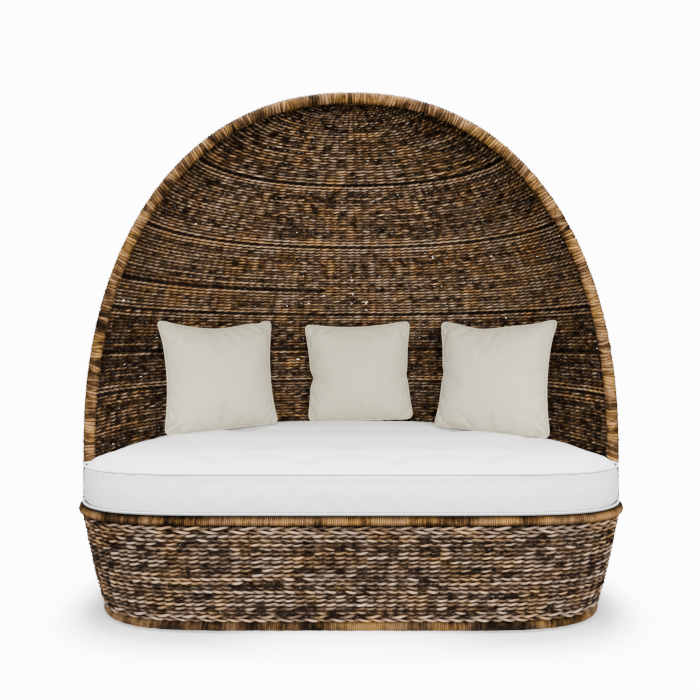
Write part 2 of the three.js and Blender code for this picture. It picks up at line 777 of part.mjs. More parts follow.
const pillowCover = pillowSolid(pillowCells, pillowWidth, pillowHeight, pillowThickness);
const pillowHollow = pillowSolid(
  insertCells,
  pillowWidth * insertShare,
  pillowHeight * insertShare,
  insertThickness,
);
const pillowInsert = pillowHollow.scale([insertFillShare, insertFillShare, insertFillShare]);
const pillowZip = boxBetween(
  new THREE.Vector3(-pillowZipLength / 2, -pillowHeight, -zipHeight / 2),
  new THREE.Vector3(pillowZipLength / 2, -pillowHeight * (insertShare / 2 - pillowPinchShare), zipHeight / 2),
);
const openCover = pillowCover.subtract(pillowHollow).subtract(pillowZip);

// Each pillow is let down until its piping all but touches the crown under it.
const crown = new THREE.Mesh(geometryOf(cushionBody));
const plumb = new THREE.Raycaster();
const downwards = new THREE.Vector3(0, 0, -1);

function heightAboveCrown(point) {
  plumb.set(point, downwards);
  const [hit] = plumb.intersectObject(crown);
  return hit ? hit.distance : Infinity;
}

pillowPlaceShares.forEach(({ name, wall, acrossShare, behindShare, turn, lean, roll }) => {
  const stand = new THREE.Group();
  const height = cushionTop + pillowHeight;
  const left = domeShares(height, 0);
  stand.position.set(
    wall * archHalfWidth * left.width + acrossShare * pillowWidth,
    archY + behindShare * domeBack * left.depth,
    height,
  );
  stand.rotateZ(THREE.MathUtils.degToRad(turn));
  stand.rotateX(THREE.MathUtils.degToRad(90 - lean));
  stand.rotateZ(THREE.MathUtils.degToRad(roll));
  stand.updateMatrixWorld(true);
  const seam = pillowPiping();
  const places = seam.attributes.position;
  let drop = Infinity;
  for (let i = 0; i < places.count; i += 1) {
    const corner = new THREE.Vector3().fromBufferAttribute(places, i).applyMatrix4(stand.matrixWorld);
    drop = Math.min(drop, heightAboveCrown(corner));
  }
  stand.position.z -= drop - pillowRestGap;
  daybed.add(stand);
  addPart(`pillow_${name}_insert`, geometryOf(pillowInsert), 'foam', stand);
  addPart(`pillow_${name}_cover`, geometryOf(openCover), 'linen', stand);
  addPart(`pillow_${name}_piping`, seam, 'linen', stand);
});

export default daybed;
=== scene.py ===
"""The canopy daybed's looks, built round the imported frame: wound hoops, a woven base and dome,
a tufted seat cushion and three throw pillows. Metres, +Z up, the open front towards -Y."""

import math

import bpy
import numpy as np
from mathutils import Euler, Matrix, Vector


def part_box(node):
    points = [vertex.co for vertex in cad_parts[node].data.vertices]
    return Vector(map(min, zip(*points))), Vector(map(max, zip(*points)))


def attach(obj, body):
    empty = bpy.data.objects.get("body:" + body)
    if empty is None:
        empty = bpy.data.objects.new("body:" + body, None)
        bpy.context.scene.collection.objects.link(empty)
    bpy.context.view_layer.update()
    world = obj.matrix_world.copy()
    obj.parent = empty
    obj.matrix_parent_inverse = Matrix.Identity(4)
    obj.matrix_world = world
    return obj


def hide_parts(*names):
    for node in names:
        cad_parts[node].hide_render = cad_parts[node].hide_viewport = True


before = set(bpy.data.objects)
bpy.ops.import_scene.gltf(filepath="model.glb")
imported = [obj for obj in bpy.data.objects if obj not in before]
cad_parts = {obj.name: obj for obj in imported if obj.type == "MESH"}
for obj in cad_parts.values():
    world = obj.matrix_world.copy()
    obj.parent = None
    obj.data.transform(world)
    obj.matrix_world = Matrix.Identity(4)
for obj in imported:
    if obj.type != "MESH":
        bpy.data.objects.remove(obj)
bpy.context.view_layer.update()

bl_info = {
    "name": "Canopy daybed",
    "version": (1, 0, 0),
    "blender": (4, 5, 0),
    "location": "3D View > Sidebar > Daybed",
    "description": "Weaves, wraps and upholsters a canopy daybed round its frame",
    "category": "Object",
}

# Sizes of the frame, as its solids have them
ARCH_Y = -0.3185
RIM = {"half_width": 0.926, "front": 0.200, "back": 0.837, "widest": 0.018}
BOTTOM = {"half_width": 0.858, "front": 0.172, "back": 0.780, "widest": 0.060}
FRONT_POWER = 6.5
BACK_POWER = 2.1
RIM_HEIGHT = 0.366
RIM_ROLL = 0.018
BOTTOM_HEIGHT = 0.019
BOTTOM_ROLL = 0.015
WALL_SWELL = 0.002
WALL_POWER = 0.66
WALL_BASE = 0.0343
WALL_TOP = 0.3477
BORDER_HEIGHT = 0.024
ARCH_HALF_WIDTH = 0.919
ARCH_SHOULDER = 0.549
ARCH_TOP = 1.785
ARCH_POWER = 2.2
ARCH_ROLL = 0.020
DOME_FOOT = 0.3843
DOME_TIP = 1.78492
DOME_BACK = 0.830
DOME_POWER = 1.85
SEAM_HEIGHTS = (0.7369, 1.0582, 1.3573, 1.5897)
SEAM_HALF = 0.0035
CUSHION_BASE = 0.3843
CUSHION_UNDERSIDE = 0.3925
CUSHION_LOW_SEAM = 0.3913
CUSHION_SEAM = 0.5103
CUSHION_TOP = 0.5503
CUSHION_HALF_WIDTH = 0.896
CUSHION_BACK = 0.817
CUSHION_FRONT = 0.214
CUSHION_NOTCH = 0.024
SPINE_HALF = 0.470
SPINE_Y = ARCH_Y + 0.150
SEAM_INSET = 0.007
CROWN_REACH = 0.24
TUFT_PITCH = 0.295
TUFT_ROW_PITCH = 0.272
FIRST_TUFT_ROW = ARCH_Y - 0.069
PILLOW_WIDTH = 0.500
PILLOW_HEIGHT = 0.462
PILLOW_HALF_DEPTH = 0.075
PILLOW_PINCH = 0.085
SEAT_WELT_ROLL = 0.0040
PILLOW_WELT_ROLL = 0.0028

# Each seat welt's side, height and the share of its underside that painted shade darkens
SEAT_WELTS = (("top", 0.5143, 0.5), ("bottom", 0.38955, 1.0))

# The cushion's band from below: how far each level is stepped in, and its height
CUSHION_BAND = (
    (0.021, CUSHION_BASE),
    (0.009, 0.3875),
    (SEAM_INSET, CUSHION_LOW_SEAM),
    (0.001, 0.400),
    (0.0, 0.447),
    (0.001, 0.495),
    (SEAM_INSET, CUSHION_SEAM),
)

# How finely lines are laid out
HOOP_SAMPLES = 40001
ARCH_SAMPLES = 20001
DOME_SAMPLES = 4001
COURSE_SAMPLES = 1500
ARCH_STATIONS = 3000
STATIONS_A_TURN = 6
BORDER_STATIONS = 2000
SHADE_BAND_STATIONS = 360
SEAM_STATIONS = 1195
BASE_STEPS = 5
CANOPY_STEPS = 4
ROD_SIDES = 6

# The canopy's bands from below: name, share of light, painted light and shade (a shift of tone
# for the band and a further one towards its sides), and courses that are darker, each with its
# height and the shares of its length between which it is so
CANOPY_BANDS = (
    ("low", 0.9, (-0.10, 0.0), ()),
    ("waist", 1.2, (-0.07, 0.0), ((0.887, 0.0, 1.0),)),
    ("middle", 1.4, (0.03, 0.14), ((1.167, 0.0, 0.45),)),
    ("high", 0.6, (-0.04, 0.10), ()),
    ("cap", 0.02, (-0.07, 0.0), ()),
)

# Each fibre's dark, middle, light and golden colour
FIBRES = {
    # Darker than the rim's cane as painted shade: it stands for the contact shadow near the floor
    "shaded_bottom_cane": (
        (0.004, 0.0022, 0.0012),
        (0.030, 0.0155, 0.007),
        (0.130, 0.074, 0.034),
        (0.200, 0.102, 0.028),
    ),
    "wound_cane": (
        (0.006, 0.0034, 0.0018),
        (0.056, 0.027, 0.010),
        (0.24, 0.130, 0.056),
        (0.38, 0.190, 0.050),
    ),
    "base_abaca": (
        (0.008, 0.0036, 0.0018),
        (0.112, 0.070, 0.046),
        (0.420, 0.295, 0.205),
        (0.450, 0.255, 0.118),
    ),
    "dome_abaca": (
        (0.009, 0.0036, 0.0014),
        (0.122, 0.069, 0.035),
        (0.415, 0.276, 0.165),
        (0.470, 0.238, 0.085),
    ),
    # Near-black: painted shade in the recessed seams between the canopy's bands
    "shaded_seam_twine": (
        (0.002, 0.0014, 0.001),
        (0.006, 0.004, 0.003),
        (0.020, 0.013, 0.009),
        (0.022, 0.013, 0.007),
    ),
}

# Each wood's dark and light colour in sRGB steps, and the grain's scale along each axis
WOODS = {
    "deck_timber": ((150, 112, 72), (198, 162, 116), (0.6, 30, 30)),
    "beam_timber": ((140, 104, 68), (186, 150, 108), (30, 0.6, 30)),
    "rattan_pole": ((132, 100, 62), (196, 160, 110), (8, 8, 8)),
}

# Each pillow's turn, lean and roll in degrees, the pulls in its seam (u, v, depth, width) and the
# folds at its ears (u, v, depth, count)
PILLOWS = {
    "left": (
        (33, 3, 2),
        (
            (0.75, 1, 0.008, 0.10),
            (-0.1, 1, 0.012, 0.5),
            (-0.8, -1, 0.007, 0.08),
            (-1, 1, -0.015, 0.2),
            (1, -1, -0.010, 0.2),
        ),
        ((1, 1, 0.0050, 17), (-1, -1, 0.0055, 13), (-1, 1, 0.0016, 11), (1, -1, 0.0012, 9)),
    ),
    "middle": (
        (-3, -2, 2),
        ((-1, -0.12, 0.014, 0.12), (1, -0.10, 0.006, 0.12)),
        ((1, 1, 0.0026, 13), (-1, -1, 0.0014, 11), (-1, 1, 0.0018, 9), (1, -1, 0.0016, 13)),
    ),
    "right": (
        (-36, 4, -1.4),
        (
            (-0.25, 1, 0.014, 0.35),
            (-1, 0.0, 0.007, 0.10),
            (0.8, -1, 0.008, 0.08),
            (1, 1, -0.017, 0.2),
            (-1, -1, -0.012, 0.2),
        ),
        ((1, 1, 0.0028, 13), (-1, -1, 0.0012, 11), (-1, 1, 0.0045, 15), (1, -1, 0.0052, 13)),
    ),
}

# Each lamp's place, turn in degrees, size and share of the power
LAMPS = {
    "overhead_lamp": ((0, -0.4, 4.2), (0, 0, 0), (3.4, 3.4), 1.0),
    "front_lamp": ((0.35, -4.7, 1.6), (83, 0, 4), (4.4, 1.6), 0.76),
    "back_lamp": ((0, 5.2, 2.6), (-76, 0, 0), (6.0, 2.2), 0.8),
}
CAMERA_PLACE = (0, -2.3185, 0.936)
CAMERA_LENS = 29.34
CAMERA_SHIFT = (-1 / 700, -10 / 700)


# ---- Meshes ----


def mesh_object(name, points, faces, uv=None, tones=None):
    """An object from points (n, 3) and rows of corner numbers. uv has a pair for each face
    corner, and tones a value for each point under each name."""
    mesh = bpy.data.meshes.new(name)
    sizes = np.concatenate([np.full(len(rows), rows.shape[1]) for rows in faces])
    corners = np.concatenate([rows.ravel() for rows in faces]).astype(np.int32)
    mesh.vertices.add(len(points))
    mesh.vertices.foreach_set("co", np.ascontiguousarray(points, np.float32).ravel())
    mesh.loops.add(len(corners))
    mesh.loops.foreach_set("vertex_index", corners)
    mesh.polygons.add(len(sizes))
    starts = np.concatenate([[0], np.cumsum(sizes)[:-1]]).astype(np.int32)
    mesh.polygons.foreach_set("loop_start", starts)
    mesh.update(calc_edges=True)
    mesh.validate()
    mesh.polygons.foreach_set("use_smooth", np.ones(len(mesh.polygons), bool))
    if uv is not None:
        layer = mesh.uv_layers.new(name="Strand")
        layer.data.foreach_set("uv", uv.astype(np.float32).ravel())
    for tone_name, values in (tones or {}).items():
        tone = mesh.attributes.new(tone_name, "FLOAT", "POINT")
        tone.data.foreach_set("value", np.ascontiguousarray(values, np.float32).ravel())
    piece = bpy.data.objects.new(name, mesh)
    bpy.context.scene.collection.objects.link(piece)
    return piece


def read(items, key, width=1, kind=np.float32):
    """What key says of each of a mesh's items: a value, or a row of width values."""
    values = np.empty(len(items) * width, kind)
    items.foreach_get(key, values)
    return values.reshape(-1, width) if width > 1 else values


def ring_quads(steps, sides, closed=False, tube_count=1):
    """Corner numbers of the quads that join each ring of points to the next one, and, in closed
    tubes, the last ring to the first."""
    tube = np.arange(tube_count)[:, None, None]
    step = np.arange(steps if closed else steps - 1)[None, :, None]
    side = np.arange(sides)[None, None, :]

    def corner(i, j):
        return (tube * steps + i % steps) * sides + j % sides

    around = (
        corner(step, side),
        corner(step + 1, side),
        corner(step + 1, side + 1),
        corner(step, side + 1),
    )
    return np.stack(np.broadcast_arrays(*around), axis=-1).reshape(-1, 4)


def tubes(name, rings, along, closed=False, tones=None, twist=0.0):
    """Skins rings (tubes, steps, sides, 3), whose points run round each tube, as closed tubes:
    each quad joins two steps and two sides, and open tubes get a cap at each end. UV is the
    length along the tube in metres, and the share of the way round it plus twist turns a metre."""
    tube_count, step_count, side_count = rings.shape[:3]
    spans = step_count if closed else step_count - 1
    along = np.broadcast_to(along, (tube_count, step_count))
    if closed:
        gap = along[:, -1:] - along[:, -2:-1]
        along = np.concatenate([along, along[:, -1:] + gap], axis=1)
    near, far = along[:, :spans, None], along[:, 1 : spans + 1, None]
    side = np.arange(side_count)[None, None, :]
    low, high = side / side_count, (side + 1) / side_count
    uv = np.stack(
        [
            np.stack(np.broadcast_arrays(u, v + twist * u), axis=-1)
            for u, v in ((near, low), (far, low), (far, high), (near, high))
        ],
        axis=-2,
    ).reshape(-1, 2)
    faces = [ring_quads(step_count, side_count, closed, tube_count)]
    if not closed:
        first = np.arange(tube_count)[:, None] * step_count * side_count
        start = first + np.arange(side_count)[None, ::-1]
        end = first + (step_count - 1) * side_count + np.arange(side_count)[None, :]
        faces.append(np.concatenate([start, end]))
        uv = np.concatenate([uv, np.zeros((2 * tube_count * side_count, 2))])
    tones = {key: np.broadcast_to(tone, rings.shape[:3]) for key, tone in (tones or {}).items()}
    return mesh_object(name, rings.reshape(-1, 3), faces, uv, tones)


def unit(vectors):
    """Vectors scaled to length one along their last axis."""
    return vectors / np.maximum(np.linalg.norm(vectors, axis=-1, keepdims=True), 1e-12)


def run_of(points, closed, axis=0):
    """The way that lines of points run: from the point before each one to the point after it."""
    if closed:
        return np.roll(points, -1, axis) - np.roll(points, 1, axis)
    return np.gradient(points, axis=axis)


def length_along(points):
    """The length of each line of points up to each of its points."""
    step = np.linalg.norm(np.diff(points, axis=-2), axis=-1)
    return np.concatenate([np.zeros((*step.shape[:-1], 1)), np.cumsum(step, axis=-1)], axis=-1)


def ring_points(centres, out, up, across, along):
    """Rings round centres: c + out * across + up * along, a point for each value in a row."""
    return (
        centres[..., None, :]
        + out[..., None, :] * across[..., None]
        + up[..., None, :] * along[..., None]
    )


def round_angles(sides):
    """Angles of points spaced evenly round a tube."""
    return 2 * np.pi * np.arange(sides) / sides


def drift(seed, shape, steps):
    """Smooth random values from -1 to 1 along the last axis: a random value at every so many
    steps, joined by a cosine ease."""
    rng = np.random.default_rng(seed)
    knots = int(shape[-1] / steps) + 3
    values = rng.uniform(-1, 1, (*shape[:-1], knots))
    place = np.arange(shape[-1]) / steps
    low = place.astype(int)
    ease = (1 - np.cos(np.pi * (place - low))) / 2
    return values[..., low] * (1 - ease) + values[..., low + 1] * ease


# ---- The frame's lines and surfaces ----


def plan_line(turn, half_width, front, back, widest):
    """A hoop's plan line. With s = |sin turn|, x = -half width * sin turn. Behind its widest place
    y rises by (back - widest)(1 - s^2.1)^(1/2.1), and in front it falls by
    (front + widest) sqrt(1 - s^6.5)."""
    share = np.minimum(np.abs(np.sin(turn)), 1)
    middle = ARCH_Y + widest
    behind = middle + (back - widest) * (1 - share**BACK_POWER) ** (1 / BACK_POWER)
    before = middle - (front + widest) * np.sqrt(1 - share**FRONT_POWER)
    return -half_width * np.sin(turn), np.where(np.cos(turn) < 0, before, behind)


def even_turns(count, line):
    """The turns of points spaced evenly along a plan line, and the line's length."""
    turn = np.linspace(0, 2 * np.pi, HOOP_SAMPLES)
    length = length_along(np.stack(plan_line(turn, **line), -1))
    return np.interp(np.arange(count) * length[-1] / count, length, turn), length[-1]


def hoop_frame(count, line, height):
    """Centres, outward directions and lengths of evenly spaced stations on a level hoop. The
    outward direction is the line's tangent turned a quarter clockwise."""
    turn, total = even_turns(count, line)
    plan = np.stack(plan_line(turn, **line), -1)
    run = unit(run_of(plan, True))
    outwards = np.stack([run[:, 1], -run[:, 0], np.zeros(count)], -1)
    centres = np.column_stack([plan, np.full(count, height)])
    return centres, outwards, np.arange(count) * total / count


def wall_surface(turn, height):
    """The middle of the base wall. Every size of its plan line goes from the bottom hoop's to the
    rim's as the share of the height to the power 0.66."""
    climb = ((height - BOTTOM_HEIGHT) / (RIM_HEIGHT - BOTTOM_HEIGHT)) ** WALL_POWER
    swell = WALL_SWELL * np.array([1, 1, 1, 0])
    low = np.array(list(BOTTOM.values())) - 2 * swell
    high = np.array(list(RIM.values())) + swell
    sizes = low + (high - low) * climb[..., None]
    x, y = plan_line(turn, *np.moveaxis(sizes, -1, 0))
    return np.stack(np.broadcast_arrays(x, y, height), -1)


def dome_surface(turn, height):
    """The middle of the dome. At the rise r from the arch's shoulder to its top the half width is
    left by (1 - r^2.2)^(1/2.2) and the depth by (1 - r^1.85)^(1/1.85), and each level section is a
    half superellipse of power 2.1."""
    rise = np.clip((height - ARCH_SHOULDER) / (ARCH_TOP - ARCH_SHOULDER), 0, 1)
    width = ARCH_HALF_WIDTH * (1 - rise**ARCH_POWER) ** (1 / ARCH_POWER)
    depth = DOME_BACK * (1 - rise**DOME_POWER) ** (1 / DOME_POWER)
    across = np.sin(turn)
    behind = (1 - np.minimum(np.abs(across), 1) ** BACK_POWER) ** (1 / BACK_POWER)
    return np.stack(np.broadcast_arrays(width * across, ARCH_Y + depth * behind, height), -1)


def dome_turns(height, count):
    """The turns of points spaced evenly along the dome at a height, and the length up to each."""
    turn = np.linspace(-np.pi / 2, np.pi / 2, DOME_SAMPLES)
    length = length_along(dome_surface(turn, np.full(DOME_SAMPLES, height)))
    even = np.linspace(0, length[-1], count)
    return np.interp(even, length, turn), even


def arch_line(count):
    """Centres, outward directions and lengths along the arch: legs that stand up to the shoulder,
    and a crown with |x/a|^2.2 + |z/b|^2.2 = 1 between them."""
    turn = np.linspace(0, np.pi, ARCH_SAMPLES)
    power = 2 / ARCH_POWER
    x = -ARCH_HALF_WIDTH * np.sign(np.cos(turn)) * np.abs(np.cos(turn)) ** power
    z = ARCH_SHOULDER + (ARCH_TOP - ARCH_SHOULDER) * np.sin(turn) ** power
    x = np.concatenate([[-ARCH_HALF_WIDTH], x, [ARCH_HALF_WIDTH]])
    z = np.concatenate([[RIM_HEIGHT], z, [RIM_HEIGHT]])
    length = length_along(np.stack([x, z], -1))
    place = np.linspace(0, length[-1], count)
    x, z = np.interp(place, length, x), np.interp(place, length, z)
    centres = np.stack([x, np.full(count, ARCH_Y), z], -1)
    run = unit(run_of(centres, False))
    outwards = np.stack([-run[:, 2], np.zeros(count), run[:, 0]], -1)
    return centres, outwards, place


def course_heights(surface, low, high, pitch):
    """Heights of courses that lie a pitch apart along the surface at its back. The trial heights
    crowd towards the top, where a dome lies almost flat."""
    trial = low + (high - low) * (1 - (1 - np.linspace(0, 1, COURSE_SAMPLES)) ** 3)
    length = length_along(surface(np.zeros(COURSE_SAMPLES), trial))
    count = max(2, round(length[-1] / pitch))
    return np.interp((np.arange(count) + 0.5) * length[-1] / count, length, trial)


def laid_courses(surface, turns, heights, reach, closed, wander=0.0):
    """Places of courses on a surface, the directions up and out there, and the distance to the
    next course, found between the points a reach of the pitch above and below."""
    height = heights[:, None] + np.zeros_like(turns)[None, :]
    pitch = np.gradient(heights)[:, None]
    place = surface(turns[None, :], height + wander * pitch)
    above = surface(turns[None, :], height + reach * pitch)
    below = surface(turns[None, :], height - reach * pitch)
    up = unit(above - below)
    out = unit(np.cross(unit(run_of(place, closed, 1)), up))
    return place, up, out, np.linalg.norm(above - below, axis=-1) / (2 * reach)


# ---- Cane and weave ----


def wound_hoop(
    name, line, sideways, radius, settings, closed, seed, width, lean, covered_shade=0.0, outer_shade=0.0
):
    """A hoop wound with cane. Round the tube the radius falls into a groove between turns:
    r = R - g (1 - |sin(pi (s/p - a + b sin 2 pi a))|^0.75), with s the length along, p the width
    of the cane, a the share of the way round, so the turns run as a helix, and b a slow random
    value up to lean, so they cross. The relief attribute paints shade in the grooves. The covered
    share paints shade on the top and the underside of a hoop, and the outer share paints shade on
    the arch's outside."""
    centres, outwards, length = line
    stations = (len(length),)
    share = np.arange(settings.wrap_sides) / settings.wrap_sides
    angle = 2 * np.pi * share + (np.pi if closed else np.pi / 2)
    turns = length[:, None] / width
    slip = 0.22 * drift(seed, stations, 37)[:, None]
    slip = slip + lean * drift(seed + 5, stations, 16)[:, None] * np.sin(2 * np.pi * share)
    wave = np.abs(np.sin(np.pi * (turns + slip - share[None, :])))
    groove = settings.wrap_groove * (width / 0.0066) ** 0.5
    lift = drift(seed + 1, stations, 9)[:, None] * groove * 0.25
    ring = radius - groove * (1 - wave**0.75) + lift
    sideways = np.zeros_like(outwards) + sideways
    rings = ring_points(centres, outwards, sideways, ring * np.cos(angle), ring * np.sin(angle))
    number = np.floor(turns + slip - share[None, :])
    each = np.random.default_rng(seed + 2).uniform(0, 1, 4096)[number.astype(int) % 4096]
    patch = 0.5 + 0.5 * drift(seed + 3, stations, 60 if closed else 24)[:, None]
    slow = 0.5 + 0.5 * drift(seed + 4, stations, 240)[:, None]
    patch = np.clip(1.6 * patch - 0.15, 0.25 if closed else 0.55, 1)
    # Painted shade: the covered share darkens the top and underside of the hoop, the outer share
    # the arch's outside
    painted_shading = np.clip(1.25 - np.abs(np.sin(angle) * sideways[:, 2:]) * covered_shade, 0, 1)
    painted_shading = painted_shading * (1 - outer_shade * np.clip(np.cos(angle), 0, 1) ** 3)
    parts = (0.24, 0.50, 0.26) if closed else (0.42, 0.33, 0.24)
    tone = parts[0] * each + parts[1] * patch + parts[2] * slow
    # relief: painted shade in the grooves between turns and on the darkened sides
    tones = {"tone": tone, "relief": wave**0.9 * painted_shading}
    return tubes(name, rings[None], length[None], closed, tones, 1 / width)


def weave(
    name, surface, turns, heights, settings, seed, closed, steps,
    edge_tone=0.0, dark=(), shade=(0, 0),
):
    """Twined courses. In each course two strands turn round its line, half a turn from stake to
    stake: out A cos(pi j + k pi) + up B sin(pi j + k pi), with j the stake and k the strand. Their
    sections are blunt ovals whose height is a share of the distance to the next course. Shade is
    painted light and shade: it shifts the tone of all strands, and shifts it further towards the
    two sides. The relief attribute paints shade where a strand lies deep and on its lower side."""
    rng = np.random.default_rng(seed)
    rows, stations = len(heights), len(turns)
    wander = 0.10 * drift(seed + 1, (rows, stations), 3 * steps)
    place, up, out, spacing = laid_courses(surface, turns, heights, 0.5, closed, wander)
    stake = np.arange(stations) / steps
    hand = np.where(rng.uniform(0, 1, (rows, 1)) < 0.85, 1.0, -1.0)
    loose = 0.16 * drift(seed + 2, (rows, stations), 2 * steps)
    lie = np.stack([loose + stake * np.pi + k * np.pi for k in (0, 1)])
    amount = 1 + 0.18 * drift(seed + 3, (2, rows, stations), steps)
    swing = settings.swing * np.cos(lie) * amount
    climb = spacing * settings.slant * np.sin(lie) * hand
    centre = place + out * swing[..., None] + up * climb[..., None]
    angle = round_angles(settings.sides) + np.pi / 2
    blunt_out, blunt_up = (np.sign(v) * np.abs(v) ** 0.85 for v in (np.cos(angle), np.sin(angle)))
    plump = 1 + 0.10 * rng.uniform(-1, 1, (2, rows, 1))
    plump = plump + 0.16 * drift(seed + 4, (2, rows, stations), 1.5 * steps)
    tall = (spacing * settings.cover * plump)[..., None] * blunt_up
    deep = (settings.strand_depth * plump)[..., None] * blunt_out
    rings = ring_points(centre, out, up, deep, tall)
    along = length_along(place)[None] + rng.uniform(0, 7, (2, rows, 1))
    # relief: painted shade, darker where a strand lies deep in the weave and on its lower side, as
    # if lit from above
    reach = np.abs(swing[..., None] + deep)
    relief = reach / (settings.swing + settings.strand_depth) * (1 + 0.5 * np.sin(angle)) / 1.1
    each = rng.uniform(0, 1, (2, rows, int(stake.max()) + 2))
    each = each[..., np.floor(stake + 0.5).astype(int)]
    splice = 0.5 + 0.5 * drift(seed + 5, (2, rows, stations), 7 * steps)
    tone = 0.20 * rng.uniform(0, 1, (2, rows, 1)) + 0.40 * splice + 0.40 * each
    from_edge = np.minimum(np.arange(rows), np.arange(rows)[::-1])[:, None]
    # Painted light and shade: the band's shift of tone, and a further one towards its sides
    tone = tone + edge_tone * (from_edge < 2) + shade[0] + shade[1] * np.sin(turns) ** 4
    # Listed courses get a darker tone, and a lower relief that paints deeper shade on them
    for level, first, last in dark:
        row = np.abs(heights - level).argmin()
        share = np.linspace(0, 1, stations)
        inside = (share > first) & (share < last)
        tone[:, row, inside] *= 0.25
        relief[:, row, inside] *= 0.35
    rings = rings.reshape(2 * rows, stations, settings.sides, 3)
    tones = {
        "relief": relief.reshape(rings.shape[:3]),
        "tone": tone.reshape(2 * rows, stations, 1),
    }
    return tubes(name, rings, along.reshape(2 * rows, stations), closed, tones, settings.twist)


def shade_cords(name, surface, turns, heights, light_share, seed, closed):
    """Thin cords that lie in the middle of the weave, where one course meets the next, and
    along its two edges, dark with painted shade in the gaps between courses. Each is a flat
    tube of four sides, and noise thins it in places, where light comes through."""
    steps = np.diff(heights)
    between = (heights[1:] + heights[:-1]) / 2
    ends = heights[0] - steps[0] / 2, heights[-1] + steps[-1] / 2
    between = np.concatenate([[ends[0]], between, [ends[1]]])
    place, up, out, spacing = laid_courses(surface, turns, between, 0.4, closed)
    rng = np.random.default_rng(seed)
    open_here = 0.5 + 0.5 * drift(seed + 1, spacing.shape, 14)
    thin = rng.uniform(0, 1, spacing.shape) < light_share * 3 * open_here**3
    thin[[0, -1]] = False
    tall = spacing * np.where(thin, rng.uniform(0.24, 0.38, spacing.shape), 0.53)
    deep = np.where(thin, 0.0006, 0.0020)
    angle = round_angles(4)
    sides = deep[..., None] * np.cos(angle), tall[..., None] * np.sin(angle)
    rings = ring_points(place, out, up, *sides)
    # A low relief paints the cords in shade
    return tubes(name, rings, length_along(place), closed, {"relief": 0.22, "tone": 0.38})


def stakes(name, surface, turns, heights, radius, closed):
    """Upright stakes: round rods on the surface, one at each turn, darkened with painted shade."""
    place = surface(turns[:, None], heights[None, :] + np.zeros((len(turns), 1)))
    up = unit(run_of(place, False, 1))
    out = unit(np.cross(unit(run_of(place, closed)), up))
    angle = round_angles(ROD_SIDES)
    sides = radius * np.cos(angle), radius * np.sin(angle)
    rings = ring_points(place, out, np.cross(out, up), *sides)
    tone = np.random.default_rng(5).uniform(0.1, 0.6, (len(turns), 1, 1))
    # A low relief paints the stakes in shade among the strands
    return tubes(name, rings, length_along(place), False, {"relief": 0.26, "tone": tone})


def twine(name, rows, out, up, length, lay, strand, reach, closed, seed):
    """Rows of two-strand twine. The strands of a row turn round its line, half a turn apart:
    c + out r cos(2 pi s/lay + k pi) + up r sin(2 pi s/lay + k pi). Every second row turns the
    other way."""
    number, k = np.divmod(np.arange(2 * len(rows)), 2)
    phase = 2 * np.pi * length / lay * np.where(number % 2, 1, -1)[:, None]
    turn = phase + (np.pi * k + number)[:, None]
    swing, climb = reach[0] * np.cos(turn)[..., None], reach[1] * np.sin(turn)[..., None]
    centre = np.stack(rows)[number] + out * swing + up * climb
    angle = round_angles(ROD_SIDES)
    sides = strand[0] * np.cos(angle), strand[1] * np.sin(angle)
    rings = ring_points(centre, out, up, *sides)
    # relief: painted shade, darker where a strand lies deep in the twine
    relief = np.abs(swing + sides[0]) / (reach[0] + strand[0])
    splice = 0.5 + 0.5 * drift(seed + 1, turn.shape, 60)
    each = np.random.default_rng(seed).uniform(0, 1, (len(rings), 1))
    tones = {"relief": relief, "tone": (0.4 * each + 0.6 * splice)[..., None]}
    return tubes(name, rings, length, closed, tones, 22)


def border_twine(name, middle, seed):
    """Two rows of twine round the base wall, just below and above a height."""
    turn, total = even_turns(BORDER_STATIONS, RIM)
    heights = [np.full(BORDER_STATIONS, middle + side * 0.006) for side in (-1, 1)]
    rows = [wall_surface(turn, height) for height in heights]
    up = unit(rows[1] - rows[0])
    out = unit(np.cross(unit(run_of(rows[0], True)), up))
    length = np.arange(BORDER_STATIONS) * total / BORDER_STATIONS
    lay = total / round(total / 0.090)
    return twine(name, rows, out, up, length, lay, (0.0042, 0.0040), (0.0040, 0.0028), True, seed)


def border_shade_band(name, middle):
    """A thin band in the base wall behind a border, 25 mm high and 2.4 mm thick, dark with painted
    shade behind the twine.
    """
    turn = even_turns(SHADE_BAND_STATIONS, RIM)[0]
    heights = [np.full(SHADE_BAND_STATIONS, middle + side * 0.0125) for side in (-1, 1)]
    edge = np.stack([wall_surface(turn, height) for height in heights], axis=1)
    thick = 0.0012 * unit(np.cross(unit(run_of(edge, True)), edge[:, 1:] - edge[:, :1]))
    rings = np.concatenate([edge + thick, (edge - thick)[:, ::-1]], axis=1)
    step = np.linalg.norm(np.diff(edge[:, 0], axis=0, prepend=edge[-1:, 0]), axis=-1)
    # A low relief paints the band in shade
    return tubes(name, rings[None], np.cumsum(step)[None], True, {"relief": 0.22, "tone": 0.22})


# ---- Materials ----


def srgb(red, green, blue):
    """Linear colour of an sRGB colour given in steps of 255."""
    share = np.array([red, green, blue]) / 255
    linear = np.where(share <= 0.04045, share / 12.92, ((share + 0.055) / 1.055) ** 2.4)
    return [float(value) for value in linear]


def opaque(colour, level=1.0):
    """A colour at a share of its brightness, with an alpha of one."""
    return (*(level * value for value in colour[:3]), 1.0)


